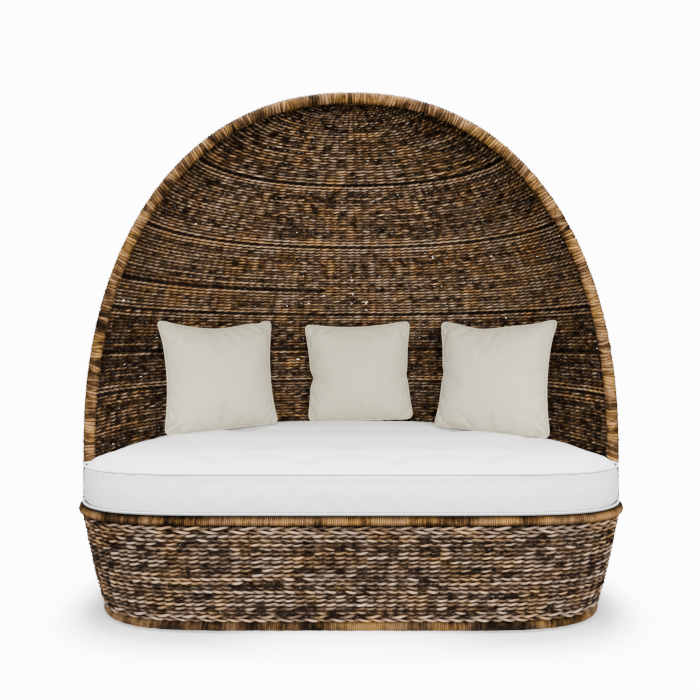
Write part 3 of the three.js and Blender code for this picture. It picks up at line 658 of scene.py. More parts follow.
class Recipe:
    """A material's nodes, added one by one, with short calls for the ones that this file uses."""

    def __init__(self, name):
        """A new material, with its nodes and its shader at hand."""
        self.material = bpy.data.materials.new(name)
        self.material.use_nodes = True
        self.nodes = self.material.node_tree.nodes
        self.links = self.material.node_tree.links
        self.shader = self.nodes["Principled BSDF"]

    def feed(self, node, inputs):
        """Links each input that is a socket, and sets the others."""
        for key, value in inputs.items():
            if isinstance(value, bpy.types.NodeSocket):
                self.links.new(value, node.inputs[key])
            else:
                node.inputs[key].default_value = value

    def add(self, kind, inputs=None, **settings):
        """A new node of a kind, with its settings and its inputs."""
        node = self.nodes.new(kind)
        for key, value in settings.items():
            setattr(node, key, value)
        self.feed(node, inputs or {})
        return node

    def place(self, scale=(1, 1, 1)):
        """Object coordinates, scaled."""
        source = self.add("ShaderNodeTexCoord").outputs["Object"]
        return self.add("ShaderNodeMapping", {"Vector": source, "Scale": scale}).outputs[0]

    def strand(self, scale=(1, 1, 1)):
        """The piece's own UV map, scaled: the length along a strand and the share round it."""
        source = self.add("ShaderNodeUVMap", uv_map="Strand").outputs[0]
        return self.add("ShaderNodeMapping", {"Vector": source, "Scale": scale}).outputs[0]

    def value(self, name):
        """One of the piece's own attributes."""
        return self.add("ShaderNodeAttribute", attribute_name=name).outputs["Fac"]

    def noise(self, vector, scale, detail=3.0, roughness=0.55):
        """Noise from 0 to 1 at a place."""
        inputs = {"Vector": vector, "Scale": scale, "Detail": detail, "Roughness": roughness}
        return self.add("ShaderNodeTexNoise", inputs).outputs["Fac"]

    def ramp(self, value, *stops):
        """The colour at a value, between stops of (value, colour)."""
        node = self.add("ShaderNodeValToRGB", {"Fac": value})
        points = node.color_ramp.elements
        while len(points) < len(stops):
            points.new(0.5)
        for point, (place, colour) in zip(points, stops):
            point.position, point.color = place, opaque(colour)
        return node.outputs["Color"]

    def grey(self, value, *stops):
        """The grey at a value, between stops of (value, level)."""
        return self.ramp(value, *[(place, (level, level, level)) for place, level in stops])

    def maths(self, operation, *values):
        """What one operation makes of its values."""
        return self.add("ShaderNodeMath", dict(enumerate(values)), operation=operation).outputs[0]

    def swung(self, tone, noise, amount):
        """The tone with noise, taken about its middle, added to it by an amount."""
        swing = self.maths("MULTIPLY", self.maths("SUBTRACT", noise, 0.5), amount)
        return self.maths("ADD", tone, swing)

    def mix(self, share, first, second, blend="MIX"):
        """The first colour, with a share of the second blended in."""
        inputs = {0: share, 6: first, 7: second}
        node = self.add("ShaderNodeMix", data_type="RGBA", blend_type=blend)
        self.feed(node, inputs)
        return node.outputs[2]

    def finish(self, colour, roughness, height=None, distance=0.001, strength=1.0, **sockets):
        """The material, with its shader's sockets fed and, where there is a height, a bump."""
        self.feed(self.shader, {"Base Color": colour, "Roughness": roughness})
        if height is not None:
            inputs = {"Height": height, "Distance": distance, "Strength": strength}
            self.feed(self.shader, {"Normal": self.add("ShaderNodeBump", inputs).outputs[0]})
        for key, value in sockets.items():
            self.shader.inputs[key.replace("_", " ").title()].default_value = value
        return self.material


def fibre_material(name, crevice_shade, gloss, streaks=0.7, flecks=0.0, pale=(0.4, 0.36, 0.31)):
    """Plant fibre: the tone of each strand picks a colour from dark to light, or in patches to
    golden. Fibre streaks turn with its twist, pale flecks lie on them, and the relief attribute
    paints shade on places deep between strands, down to the crevice share of the colour."""
    dark, middle, light, golden = FIBRES[name]
    r = Recipe(name)
    streak = r.noise(r.strand((52, 5.5, 1)), 2.0, 3.0, 0.65)
    fine = r.noise(r.strand((170, 24, 1)), 2.0, 3.0, 0.6)
    blotch = r.noise(r.place(), 30.0, 3.0, 0.6)
    patch = r.noise(r.place((1, 1, 1.8)), 8.0, 2.0, 0.6)
    tone = r.maths("MULTIPLY_ADD", r.value("tone"), 1.25, -0.20)
    for noise, amount in ((blotch, 1.2), (streak, streaks), (fine, 0.9)):
        tone = r.swung(tone, noise, amount)
    grey = r.ramp(tone, (0.08, dark), (0.42, middle), (0.88, light))
    warm = r.ramp(tone, (0.08, dark), (0.42, opaque(golden, 0.35)), (0.88, golden))
    colour = r.mix(r.grey(patch, (0.45, 0.0), (0.64, 1.0)), grey, warm)
    fleck = r.noise(r.place((0.6, 0.6, 1.5)), 130.0, 2.0, 0.5)
    colour = r.mix(r.grey(fleck, (0.60, 0.0), (0.70, flecks)), colour, opaque(pale))
    # Painted shade: low relief darkens the colour down to the crevice share
    depth = r.grey(r.value("relief"), (0.10, crevice_shade), (0.85, 1.0))
    colour = r.mix(1.0, colour, depth, "MULTIPLY")
    rough = r.grey(streak, (0.2, gloss), (0.8, gloss + 0.25))
    height = r.maths("ADD", r.maths("MULTIPLY", streak, 0.8), r.maths("MULTIPLY", fine, 0.5))
    r.shader.inputs["Specular IOR Level"].default_value = 0.03
    return r.finish(colour, rough, height, distance=0.0016, strength=0.9)


def wood_material(name, dark, light, grain):
    """Timber or pole: rings of grain stretched along one axis."""
    r = Recipe(name)
    lines = r.noise(r.place(grain), 5.0, 6.0, 0.6)
    fine = r.noise(r.place(tuple(6 * v for v in grain)), 7.0, 3.0)
    colour = r.ramp(lines, (0.3, dark), (0.7, light))
    rough = r.grey(fine, (0.3, 0.5), (0.7, 0.72))
    return r.finish(colour, rough, fine, distance=0.0004, strength=0.6)


def plain_material(name, colour, low, high, metallic=0.0):
    """Moulded or turned stock: an even colour with a fine mottle in its gloss."""
    r = Recipe(name)
    mottle = r.noise(r.place(), 240.0, 3.0)
    shade = r.ramp(mottle, (0.3, opaque(colour, 0.8)), (0.7, colour))
    rough = r.grey(mottle, (0.3, low), (0.7, high))
    return r.finish(shade, rough, mottle, distance=0.0002, strength=0.4, metallic=metallic)


def cloth_material(name, colour, thread, relief, mottle=0.04):
    """Woven cloth: two crossed waves of threads, a thread apart on the cloth's own map, give the
    weave, slow noise gives slubs, and an attribute of painted shade darkens what lies deep in a
    seam, in a fold or beneath the cushion."""
    r = Recipe(name)
    lay = r.strand()
    wobble = r.noise(r.place(), 9.0, 2.0)
    wave = {"Vector": lay, "Scale": 0.314 / thread, "Distortion": 0.8, "Detail": 2.0}
    waves = [
        r.add("ShaderNodeTexWave", wave, bands_direction=way).outputs["Fac"] for way in ("X", "Y")
    ]
    cross = r.maths("MAXIMUM", *waves)
    slub = r.noise(r.strand((20, 260, 1)), 4.0, 3.0)
    tone = r.maths("ADD", r.maths("MULTIPLY", cross, 0.5), r.maths("MULTIPLY", slub, 0.5))
    low = opaque(colour, 1 - mottle)
    shade = r.ramp(tone, (0.25, low), (0.75, opaque(colour, 1 + mottle)))
    shade = r.mix(r.grey(wobble, (0.3, 0.0), (0.7, mottle)), shade, low)
    # Painted shade: the attribute blends towards the colour at a sixth of its brightness
    shade = r.mix(r.value("painted_shade"), shade, opaque(colour, 0.16))
    bump = {"distance": relief, "strength": 0.7}
    return r.finish(shade, 0.92, tone, **bump, sheen_weight=0.25, sheen_roughness=0.5)


def floor_material(colour):
    """Pale paper that fades into the white background away from the daybed."""
    r = Recipe("studio_paper")
    fleck = r.noise(r.place(), 60.0, 3.0)
    r.finish(r.ramp(fleck, (0.3, opaque(colour, 0.985)), (0.7, colour)), 0.9)
    reach = {"Value": r.value("gap"), "From Min": 0.04, "From Max": 0.24}
    fade = r.add("ShaderNodeMapRange", reach, interpolation_type="SMOOTHSTEP")
    clear = r.add("ShaderNodeBsdfTransparent").outputs[0]
    blend = r.add("ShaderNodeMixShader", {0: fade.outputs[0], 1: r.shader.outputs[0], 2: clear})
    r.links.new(blend.outputs[0], r.nodes["Material Output"].inputs["Surface"])
    return r.material


def dress(piece, material, body, slot_name, *nodes):
    """Gives a piece its material and its body, and hides the nodes that it stands for; its slot is
    not used.
    """
    piece.data.materials.clear()
    piece.data.materials.append(material)
    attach(piece, body)
    if nodes:
        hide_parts(*nodes)
    return piece


# ---- Soft goods ----


def baked(piece):
    """The piece with its modifiers applied."""
    graph = bpy.context.evaluated_depsgraph_get()
    mesh = bpy.data.meshes.new_from_object(piece.evaluated_get(graph))
    mesh.name = piece.name
    piece.modifiers.clear()
    piece.data = mesh
    return piece


def softened(piece):
    """The piece with its cells of cloth divided once and rounded."""
    cloth = piece.modifiers.new("Cloth", "SUBSURF")
    cloth.levels = cloth.render_levels = 1
    baked(piece)
    piece.data.polygons.foreach_set("use_smooth", np.ones(len(piece.data.polygons), bool))
    return piece


def points_of(piece):
    """The piece's points, a row of x, y and z for each."""
    return read(piece.data.vertices, "co", 3).astype(float)


def move_points(piece, points):
    """Puts the piece's points in new places."""
    piece.data.vertices.foreach_set("co", points.astype(np.float32).ravel())
    piece.data.update()


def stuff(piece, held, pressure, frames, reach, shrink):
    """Fills a closed cloth form: pressure from inside, no gravity, and the points in held stay.
    No point ends further than reach from where it started."""
    start = points_of(piece)
    group = piece.vertex_groups.new(name="Held")
    group.add([int(i) for i in np.nonzero(held)[0]], 1.0, "REPLACE")
    cloth = piece.modifiers.new("Stuffing", "CLOTH")
    cloth.settings.quality = 5
    cloth.settings.mass = 0.15
    cloth.settings.use_pressure = True
    cloth.settings.uniform_pressure_force = pressure
    cloth.settings.effector_weights.gravity = 0
    cloth.settings.vertex_group_mass = "Held"
    cloth.settings.shrink_min = shrink
    cloth.settings.bending_stiffness = 0.5
    cloth.settings.air_damping = 6
    cloth.point_cache.frame_start = 1
    cloth.point_cache.frame_end = frames
    scene = bpy.context.scene
    for number in range(1, frames + 1):
        scene.frame_set(number)
    shown = piece.evaluated_get(bpy.context.evaluated_depsgraph_get())
    step = read(shown.data.vertices, "co", 3) - start
    size = np.linalg.norm(step, axis=1, keepdims=True)
    piece.modifiers.clear()
    piece.vertex_groups.clear()
    scene.frame_set(1)
    move_points(piece, start + step * np.minimum(1, reach / np.maximum(size, 1e-9)))
    return piece


def cushion_outline(count):
    """The cushion's plan, evenly spaced: behind the arch it follows the inside of the dome, beside
    each leg it is cut straight, and in front it follows the rim."""
    share = np.sin(np.linspace(0, np.arccos(2 * CUSHION_NOTCH / CUSHION_BACK), 400))
    behind = ARCH_Y + CUSHION_BACK * (1 - share**BACK_POWER) ** (1 / BACK_POWER)
    depth = CUSHION_FRONT + RIM["widest"]
    last = np.cos(np.arcsin((RIM["widest"] + 0.054) / depth)) ** (2 / FRONT_POWER)
    across = np.sin(np.arcsin(last) * np.linspace(1, 0, 400))
    before = ARCH_Y + RIM["widest"] - depth * np.sqrt(1 - across**FRONT_POWER)
    leg = [[-CUSHION_HALF_WIDTH, ARCH_Y + side * CUSHION_NOTCH] for side in (1, -1)]
    left = np.concatenate(
        [
            np.stack([-CUSHION_HALF_WIDTH * share, behind], -1),
            leg,
            np.stack([-RIM["half_width"] * across, before], -1),
        ]
    )
    right = left[1:-1][::-1] * (-1, 1)
    line = np.concatenate([left, right, left[:1]])
    length = length_along(line)
    place = np.arange(count) * length[-1] / count
    return np.stack([np.interp(place, length, line[:, k]) for k in (0, 1)], -1), place


def stepped_in(line, inset):
    """The plan line with every point moved by inset towards the nearest place on the spine, a
    line along the middle of the cushion's length."""
    x = np.clip(line[:, 0], -SPINE_HALF, SPINE_HALF)
    spine = np.stack([x, np.full(len(line), SPINE_Y)], -1)
    return line + unit(spine - line) * inset


def level_line(line, inset, height):
    """The plan line stepped in and laid at a height."""
    return np.column_stack([stepped_in(line, inset), np.full(len(line), height)])


def tuft_places():
    """Rows of tufts: each row is centred, and the rows hold four, five and four."""
    rows = []
    for number, count in enumerate((4, 5, 4)):
        x = (np.arange(count) - (count - 1) / 2) * TUFT_PITCH
        rows.append(np.stack([x, np.full(count, FIRST_TUFT_ROW + number * TUFT_ROW_PITCH)], -1))
    return rows


def distances(points, targets):
    """The distance from each point to each target, one block of points at a time."""
    for block in np.array_split(points, max(1, len(points) // 2000)):
        yield np.sqrt(((block[:, None, :] - targets[None]) ** 2).sum(-1))


def nearest_distance(points, targets):
    """The distance from each point to the nearest target."""
    return np.concatenate([block.min(1) for block in distances(points, targets)])


def cushion_form():
    """A boxed cushion: level copies of its plan, stepped in at the seams, and a crown whose height
    at the inset i is 1 - (1 - i/0.24)^8 of the whole."""
    line = cushion_outline(420)[0]
    inset = np.linspace(0, CROWN_REACH, 9)[1:] ** 1.4 / CROWN_REACH**0.4
    lift = (CUSHION_TOP - 0.006 - CUSHION_SEAM) * (1 - (1 - inset / CROWN_REACH) ** 8)
    crown = [(SEAM_INSET + i, CUSHION_SEAM + h) for i, h in zip(inset, lift)]
    rings = [level_line(line, i, z) for i, z in (*CUSHION_BAND, *crown)]
    count, levels = len(line), len(rings)
    quads = np.roll(ring_quads(levels, count)[:, ::-1], 1, axis=1)
    caps = np.stack([np.arange(count)[::-1], (levels - 1) * count + np.arange(count)])
    return mesh_object("seat_cushion", np.concatenate(rings), [quads, caps])


def sewn_seat(points, rows, line, settings):
    """Sews the rows of tufts, in place. Along a row the top falls by v / (1 + (d/w)^2), with d the
    distance from the row, and at each tuft by a further t exp(-(r/s)^2). Both fade to nothing
    towards the outline and past the ends of a row."""
    top = points[:, 2] > CUSHION_SEAM + 0.006
    inside = np.clip(nearest_distance(points[:, :2], line) / 0.16, 0, 1) ** 1.5
    near = nearest_distance(points[:, :2], np.concatenate(rows))
    dip = settings.tuft_depth * np.exp(-((near / 0.048) ** 2))
    for row in rows:
        reach = np.abs(row[:, 0]).max() + 0.16
        fade = 1 / (1 + np.exp((np.abs(points[:, 0]) - reach) / 0.04))
        away = points[:, 1] - row[0, 1] + 0.004 * np.sin(points[:, 0] * 23 + row[0, 1] * 9)
        dip += settings.valley_depth * fade / (1 + (away / 0.026) ** 2)
    points[:, 2] -= np.where(top, dip * inside, 0)
    return points


def lay_cloth(piece, uv):
    """Writes the UV map of a cloth piece, a pair for each face corner, in metres of cloth."""
    layer = piece.data.uv_layers.get("Strand") or piece.data.uv_layers.new(name="Strand")
    layer.data.foreach_set("uv", np.ascontiguousarray(uv, np.float32).ravel())


def seat_cloth_uv(piece):
    """Cloth lies flat on the top and the base, and round the outline on the band."""
    mesh = piece.data
    points = points_of(piece)
    corners = read(mesh.loops, "vertex_index", kind=np.int32)
    upright = np.abs(read(mesh.polygons, "normal", 3)[:, 2]) < 0.6
    upright = np.repeat(upright, read(mesh.polygons, "loop_total", kind=np.int32))
    line, place = cushion_outline(600)
    nearest = np.concatenate([block.argmin(1) for block in distances(points[:, :2], line)])
    band = np.stack([place[nearest][corners], points[corners, 2]], -1)
    lay_cloth(piece, np.where(upright[:, None], band, points[corners, :2]))


def paint_shade(piece, value):
    """Writes the attribute of painted shade, one value for each point of the piece."""
    layer = piece.data.attributes.new("painted_shade", "FLOAT", "POINT")
    layer.data.foreach_set("value", np.clip(value, 0, 1).astype(np.float32))


def piping(name, centres, radius, dim, high):
    """Covered cord: a round tube along a closed line of points, c + r (out cos a + up sin a). Its
    underside, where the seam swallows the light, gets painted shade as strong as dim, up to the
    share high."""
    run = unit(run_of(centres, True))
    out = unit(np.cross(run, np.zeros_like(run) + (0, 0, 1)))
    angle = round_angles(10)
    sides = radius * np.cos(angle), radius * np.sin(angle)
    rings = ring_points(centres, out, np.cross(out, run), *sides)
    piece = tubes(name, rings[None], length_along(centres)[None], True)
    # Painted shade on the underside of the cord
    paint_shade(piece, np.tile(dim * np.clip(high - 1.2 * np.sin(angle), 0, 1), len(centres)))
    return piece


def pillow_seam(u, v, pulls):
    """Where the cloth's place (u, v), each from -1 to 1, lies flat:
    x = w/2 u (1 - p (1 - v^2)) and y = h/2 v (1 - p (1 - u^2)), so the sides pull in between the
    ears, but less at the base, where it rests. Each corner is rounded by c |u v|^14. A pull
    (u, v, depth, width) draws the cloth near it towards the middle by depth exp(-(r/width)^2)."""
    corner = 0.013 * np.abs(u * v) ** 14
    rests = np.where(v < 0, 0.12, 1.25)
    x = u * (PILLOW_WIDTH / 2 * (1 - 1.15 * PILLOW_PINCH * (1 - v**2)) - corner)
    y = v * (PILLOW_HEIGHT / 2 * (1 - rests * PILLOW_PINCH * (1 - u**2)) - corner)
    for at_u, at_v, depth, width in pulls:
        amount = depth * np.exp(-(((u - at_u) ** 2 + (v - at_v) ** 2) / width**2))
        size = math.hypot(at_u, at_v)
        x, y = x - amount * at_u / size, y - amount * at_v / size
    return x, y


def creases(flat, ears):
    """Folds that run out from the ears of a pillow. At the distance r and the direction a from an
    ear's corner the cloth rises by d cos(n a) exp(-((r - 0.045)/0.040)^2)."""
    rise = np.zeros(len(flat))
    for at_u, at_v, depth, count in ears:
        across = flat[:, 0] - at_u * (PILLOW_WIDTH / 2 + 0.004)
        along = flat[:, 1] - at_v * (PILLOW_HEIGHT / 2 + 0.004)
        spread = np.exp(-(((np.hypot(across, along) - 0.045) / 0.040) ** 2))
        rise += depth * np.cos(count * np.arctan2(along * at_v, across * at_u)) * spread
    return rise


def pillow_form(name, cells, pulls):
    """Two squares of cloth sewn along their edges on the seam's line. The halves stand off by
    +-t ((1 - |u|^3)(1 - |v|^3))^0.62, so the stuffing has a side to press on."""
    share = np.sin(np.linspace(-1, 1, cells + 1) * np.pi / 2 * 0.86) / np.sin(np.pi / 2 * 0.86)
    u, v = np.meshgrid(share, share, indexing="ij")
    across, along = pillow_seam(u, v, pulls)
    thick = 0.052 * ((1 - np.abs(u) ** 3) * (1 - np.abs(v) ** 3)) ** 0.62
    front = np.stack([across, along, thick], -1).reshape(-1, 3)
    number = np.arange((cells + 1) ** 2).reshape(cells + 1, cells + 1)
    inner = number[1:-1, 1:-1]
    back_number = number.copy()
    back_number[1:-1, 1:-1] = len(front) + np.arange(inner.size).reshape(inner.shape)

    def quads(grid):
        around = (grid[:-1, :-1], grid[1:, :-1], grid[1:, 1:], grid[:-1, 1:])
        return np.stack(around, -1).reshape(-1, 4)

    points = np.concatenate([front, front[inner.ravel()] * (1, 1, -1)])
    faces = [np.concatenate([quads(number), quads(back_number)[:, ::-1]])]
    piece = mesh_object(name, points, faces)
    corners = read(piece.data.loops, "vertex_index", kind=np.int32)
    lay_cloth(piece, points[corners, :2])
    sides = (number[:-1, 0], number[-1, :-1], number[:0:-1, -1], number[0, :0:-1])
    return piece, np.concatenate(sides)


# ---- Settings ----


def length_setting(name, description, default):
    """A length, in metres."""
    return bpy.props.FloatProperty(
        name=name, description=description, default=default, unit="LENGTH"
    )


def share_setting(name, description, default):
    """A share of something else."""
    return bpy.props.FloatProperty(
        name=name, description=description, default=default, subtype="FACTOR"
    )


def plain_setting(name, description, default):
    """A number without a unit."""
    return bpy.props.FloatProperty(name=name, description=description, default=default)


def count_setting(name, description, default):
    """A whole number."""
    return bpy.props.IntProperty(name=name, description=description, default=default)


def colour_setting(name, description, default):
    """A linear colour."""
    return bpy.props.FloatVectorProperty(
        name=name, description=description, default=(*default, 1), size=4, subtype="COLOR"
    )


class CaneSettings(bpy.types.PropertyGroup):
    """Sizes of the cane that is wound round the hoops and the arch."""

    cane_width: length_setting("Cane width", "How far one turn of cane lies from the next", 0.0066)
    arch_cane_width: length_setting("Arch cane width", "The same on the arch", 0.0105)
    wrap_groove: length_setting("Groove", "How deep the line between two turns lies", 0.0022)
    wrap_sides: count_setting("Sides", "Points round a wound hoop", 10)


class BaseWeaveSettings(bpy.types.PropertyGroup):
    """Sizes of the coarse weave of the base."""

    course_pitch: length_setting("Course pitch", "How far one course lies from the next", 0.0142)
    stake_pitch: length_setting("Stake pitch", "How far one stake stands from the next", 0.034)
    swing: length_setting("Swing", "How far a strand swings in and out past the stakes", 0.0034)
    strand_depth: length_setting("Strand depth", "Half the thickness of a strand", 0.0034)
    slant: share_setting("Slant", "How far a strand climbs as a share of the pitch", 0.13)
    cover: share_setting("Cover", "Half a strand's height as a share of the pitch", 0.25)
    light_share: share_setting("Light share", "Share of the crossings that let light in", 0.02)
    twist: plain_setting("Twist", "Turns of the fibres in a metre of strand", 14.0)
    sides: count_setting("Sides", "Points round a strand", 5)


class CanopyWeaveSettings(bpy.types.PropertyGroup):
    """Sizes of the fine weave of the canopy."""

    course_pitch: length_setting("Course pitch", "How far one course lies from the next", 0.0134)
    stake_pitch: length_setting("Stake pitch", "How far one stake stands from the next", 0.033)
    swing: length_setting("Swing", "How far a strand swings in and out past the stakes", 0.0032)
    strand_depth: length_setting("Strand depth", "Half the thickness of a strand", 0.0030)
    slant: share_setting("Slant", "How far a strand climbs as a share of the pitch", 0.13)
    cover: share_setting("Cover", "Half a strand's height as a share of the pitch", 0.23)
    light_share: share_setting("Light share", "Share of the crossings that let light in", 0.12)
    twist: plain_setting("Twist", "Turns of the fibres in a metre of strand", 16.0)
    sides: count_setting("Sides", "Points round a strand", 4)


class CushionSettings(bpy.types.PropertyGroup):
    """The seat cushion's stuffing and tufts."""

    pressure: plain_setting("Stuffing pressure", "Pressure in the cover while it fills", 4.0)
    cell: length_setting("Cloth cell", "Size of one cell of the cushion's cloth", 0.014)
    tuft_depth: length_setting("Tuft depth", "How far each tuft is drawn down", 0.017)
    valley_depth: length_setting("Valley depth", "How far the top falls along a row", 0.0135)
    colour: colour_setting("Canvas colour", "Colour of the canvas", (0.690, 0.692, 0.698))


class PillowSettings(bpy.types.PropertyGroup):
    """The throw pillows' stuffing and cloth."""

    pressure: plain_setting("Stuffing pressure", "Pressure in a cover while it fills", 4.0)
    cells: count_setting("Cells", "Cells of cloth across a pillow", 64)
    colour: colour_setting("Linen colour", "Colour of the linen", (0.372, 0.332, 0.228))


class StageSettings(bpy.types.PropertyGroup):
    """The floor, the lamps and the sky's light."""

    sky: plain_setting("Sky light", "Strength of the even white light from all round", 0.4)
    white: plain_setting("Background white", "Brightness of the plain background", 13.0)
    lamp: bpy.props.FloatProperty(
        name="Lamp power",
        description="Power of the large soft lamp overhead",
        default=940.0,
        unit="POWER",
    )
    floor: colour_setting("Floor colour", "Colour of the plain floor", (0.95, 0.95, 0.95))


# ---- Operators ----


class DAYBED_OT_wind_hoops(bpy.types.Operator):
    """Winds cane round the bottom hoop, the rim and the arch"""

    bl_idname = "daybed.wind_hoops"
    bl_label = "Wind the hoops and arch"

    def execute(self, context):
        settings = context.scene.daybed_cane
        width = settings.cane_width
        # The bottom hoop's cane is darker as painted shade near the floor
        shade_cane = fibre_material("shaded_bottom_cane", 0.05, 0.5, 0.5)
        cane = fibre_material("wound_cane", 0.05, 0.45, 0.5)
        # The rim's cane gets painted shade on its top and underside, where the cushion lies over
        # it
        hoops = (
            ("rim_hoop", RIM, RIM_HEIGHT, RIM_ROLL, 11, 1.3, cane),
            ("bottom_hoop", BOTTOM, BOTTOM_HEIGHT, BOTTOM_ROLL, 23, 0.0, shade_cane),
        )
        for name, plan, height, radius, seed, covered_shade, finish in hoops:
            turns = round(even_turns(8, plan)[1] / width)
            centres, outwards, length = hoop_frame(turns * STATIONS_A_TURN, plan, height)
            length = length * turns * width / (length[-1] + length[1])
            line = centres, outwards, length
            winding = radius, settings, True, seed, width, 0.35, covered_shade
            piece = wound_hoop(name + "_cane", line, (0, 0, 1), *winding)
            dress(piece, finish, "frame", "cane_wrap", name + "_wrap")
        winding = ARCH_ROLL, settings, False, 37, settings.arch_cane_width, 0.85
        line = arch_line(ARCH_STATIONS)
        piece = wound_hoop("arch_cane", line, (0, 1, 0), *winding, outer_shade=1.0)
        dress(piece, cane, "frame", "cane_wrap", "arch_wrap")
        return {"FINISHED"}


class DAYBED_OT_weave_base(bpy.types.Operator):
    """Weaves the flared base and twines its two borders"""

    bl_idname = "daybed.weave_base"
    bl_label = "Weave the base"

    def execute(self, context):
        settings = context.scene.daybed_base_weave
        abaca = fibre_material("base_abaca", 0.02, 0.6, flecks=0.22)
        count = 2 * round(even_turns(8, RIM)[1] / settings.stake_pitch / 2)
        turns = even_turns(count * BASE_STEPS, BOTTOM)[0]
        low, high = WALL_BASE + BORDER_HEIGHT, WALL_TOP - BORDER_HEIGHT
        heights = course_heights(wall_surface, low, high, settings.course_pitch)
        half = len(heights) // 2
        halves = (("base_weave", heights[:half], 101), ("base_weave_upper", heights[half:], 102))
        for name, part, seed in halves:
            piece = weave(name, wall_surface, turns, part, settings, seed, True, BASE_STEPS)
            dress(piece, abaca, "frame", "base_weave", "base_wall")
        light = settings.light_share
        cords = shade_cords("base_shade_cords", wall_surface, turns[::3], heights, light, 151, True)
        dress(cords, abaca, "frame", "base_weave")
        standing = turns[::BASE_STEPS], np.linspace(low - 0.02, high + 0.02, 9), 0.0023, True
        dress(stakes("base_stakes", wall_surface, *standing), abaca, "frame", "base_weave")
        for name, base, seed in (("lower_border", WALL_BASE, 7), ("upper_border", high, 9)):
            middle = base + BORDER_HEIGHT / 2
            piece = border_twine(name + "_twine", middle, seed)
            dress(piece, abaca, "frame", "base_weave", name)
            dress(border_shade_band(name + "_shade_band", middle), abaca, "frame", "base_weave")
        return {"FINISHED"}


class DAYBED_OT_weave_canopy(bpy.types.Operator):
    """Weaves the five bands of the canopy and the dark seams between them"""

    bl_idname = "daybed.weave_canopy"
    bl_label = "Weave the canopy"

    def execute(self, context):
        self.weave_bands(context.scene.daybed_canopy_weave)
        self.twine_seams()
        return {"FINISHED"}

    def weave_bands(self, settings):
        """The bands, each with its cords and stakes, from the foot up."""
        abaca = fibre_material("dome_abaca", 0.03, 0.62, flecks=0.55, pale=(0.52, 0.46, 0.39))
        edges = (DOME_FOOT, *SEAM_HEIGHTS, DOME_TIP)
        steps = CANOPY_STEPS
        for number, (name, light, shade, faint) in enumerate(CANOPY_BANDS):
            low = edges[number] + SEAM_HALF * (number > 0)
            high = edges[number + 1] - SEAM_HALF * (number < 4)
            total = dome_turns((low + high) / 2, 2)[1][-1]
            count = 2 * round(total / settings.stake_pitch / 2)
            turns = dome_turns((low + high) / 2, count * steps + 1)[0]
            heights = course_heights(dome_surface, low, high, settings.course_pitch)
            looks = settings, 200 + number, False, steps, 0.22, faint, shade
            piece = weave(f"canopy_weave_{name}", dome_surface, turns, heights, *looks)
            replaced = "dome_cap" if name == "cap" else f"dome_band_{name}"
            dress(piece, abaca, "frame", "dome_weave", replaced)
            lying = turns[::2], heights, settings.light_share * light, 250 + number, False
            cords = shade_cords(f"canopy_shade_cords_{name}", dome_surface, *lying)
            dress(cords, abaca, "frame", "dome_weave")
            standing = turns[steps:-steps:steps], np.linspace(low, high, 14), 0.0018, False
            rods = stakes(f"canopy_stakes_{name}", dome_surface, *standing)
            dress(rods, abaca, "frame", "dome_weave")

    def twine_seams(self):
        """The seams: two-strand twine over a flat core of four corners, c +- 2.6 mm out and
        c +- 6 mm up. The twine's near-black colour and the dark core are painted shade in the
        recessed seam."""
        dark = fibre_material("shaded_seam_twine", 0.1, 0.6)
        for number, height in enumerate(SEAM_HEIGHTS, 1):
            turns, even = dome_turns(height, SEAM_STATIONS)
            level = np.full(SEAM_STATIONS, height)
            centres = dome_surface(turns, level)
            up = unit(dome_surface(turns, level + 0.004) - centres)
            out = unit(np.cross(unit(run_of(centres, False)), up))
            strands = even, 0.055, (0.0034, 0.0028), (0.0028, 0.0024), False, 299 + number
            piece = twine(f"canopy_seam_{number}", [centres], out, up, *strands)
            dress(piece, dark, "frame", "dome_weave", f"dome_hoop_{number}")
            rim = np.stack([centres + out * 0.0026, centres + up * 0.0060])
            rim = np.moveaxis(np.concatenate([rim, 2 * centres - rim]), 0, 1)
            # A low relief paints the core darker still, as shade deep in the seam
            tones = {"relief": 0.4, "tone": 0.3}
            name = f"canopy_seam_shade_core_{number}"
            core = tubes(name, rim[None, ::6], even[None, ::6], False, tones)
            dress(core, dark, "frame", "dome_weave")


class DAYBED_OT_finish_frame(bpy.types.Operator):
    """Finishes the timber, the rattan poles, the dowels and the glides"""

    bl_idname = "daybed.finish_frame"
    bl_label = "Finish the frame"

    def execute(self, context):
        timber, beam, pole = (
            wood_material(name, srgb(*dark), srgb(*light), grain)
            for name, (dark, light, grain) in WOODS.items()
        )
        nylon = plain_material("glide_nylon", srgb(40, 38, 36), 0.45, 0.6)
        steel = plain_material("dowel_steel", srgb(170, 172, 175), 0.25, 0.4, 1.0)
        finishes = {"deck_slat": timber, "beam": beam, "glide": nylon, "arch_dowel": steel}
        for name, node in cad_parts.items():
            found = [finish for start, finish in finishes.items() if name.startswith(start)]
            node.data.materials.clear()
            node.data.materials.append(found[0] if found else pole)
        return {"FINISHED"}


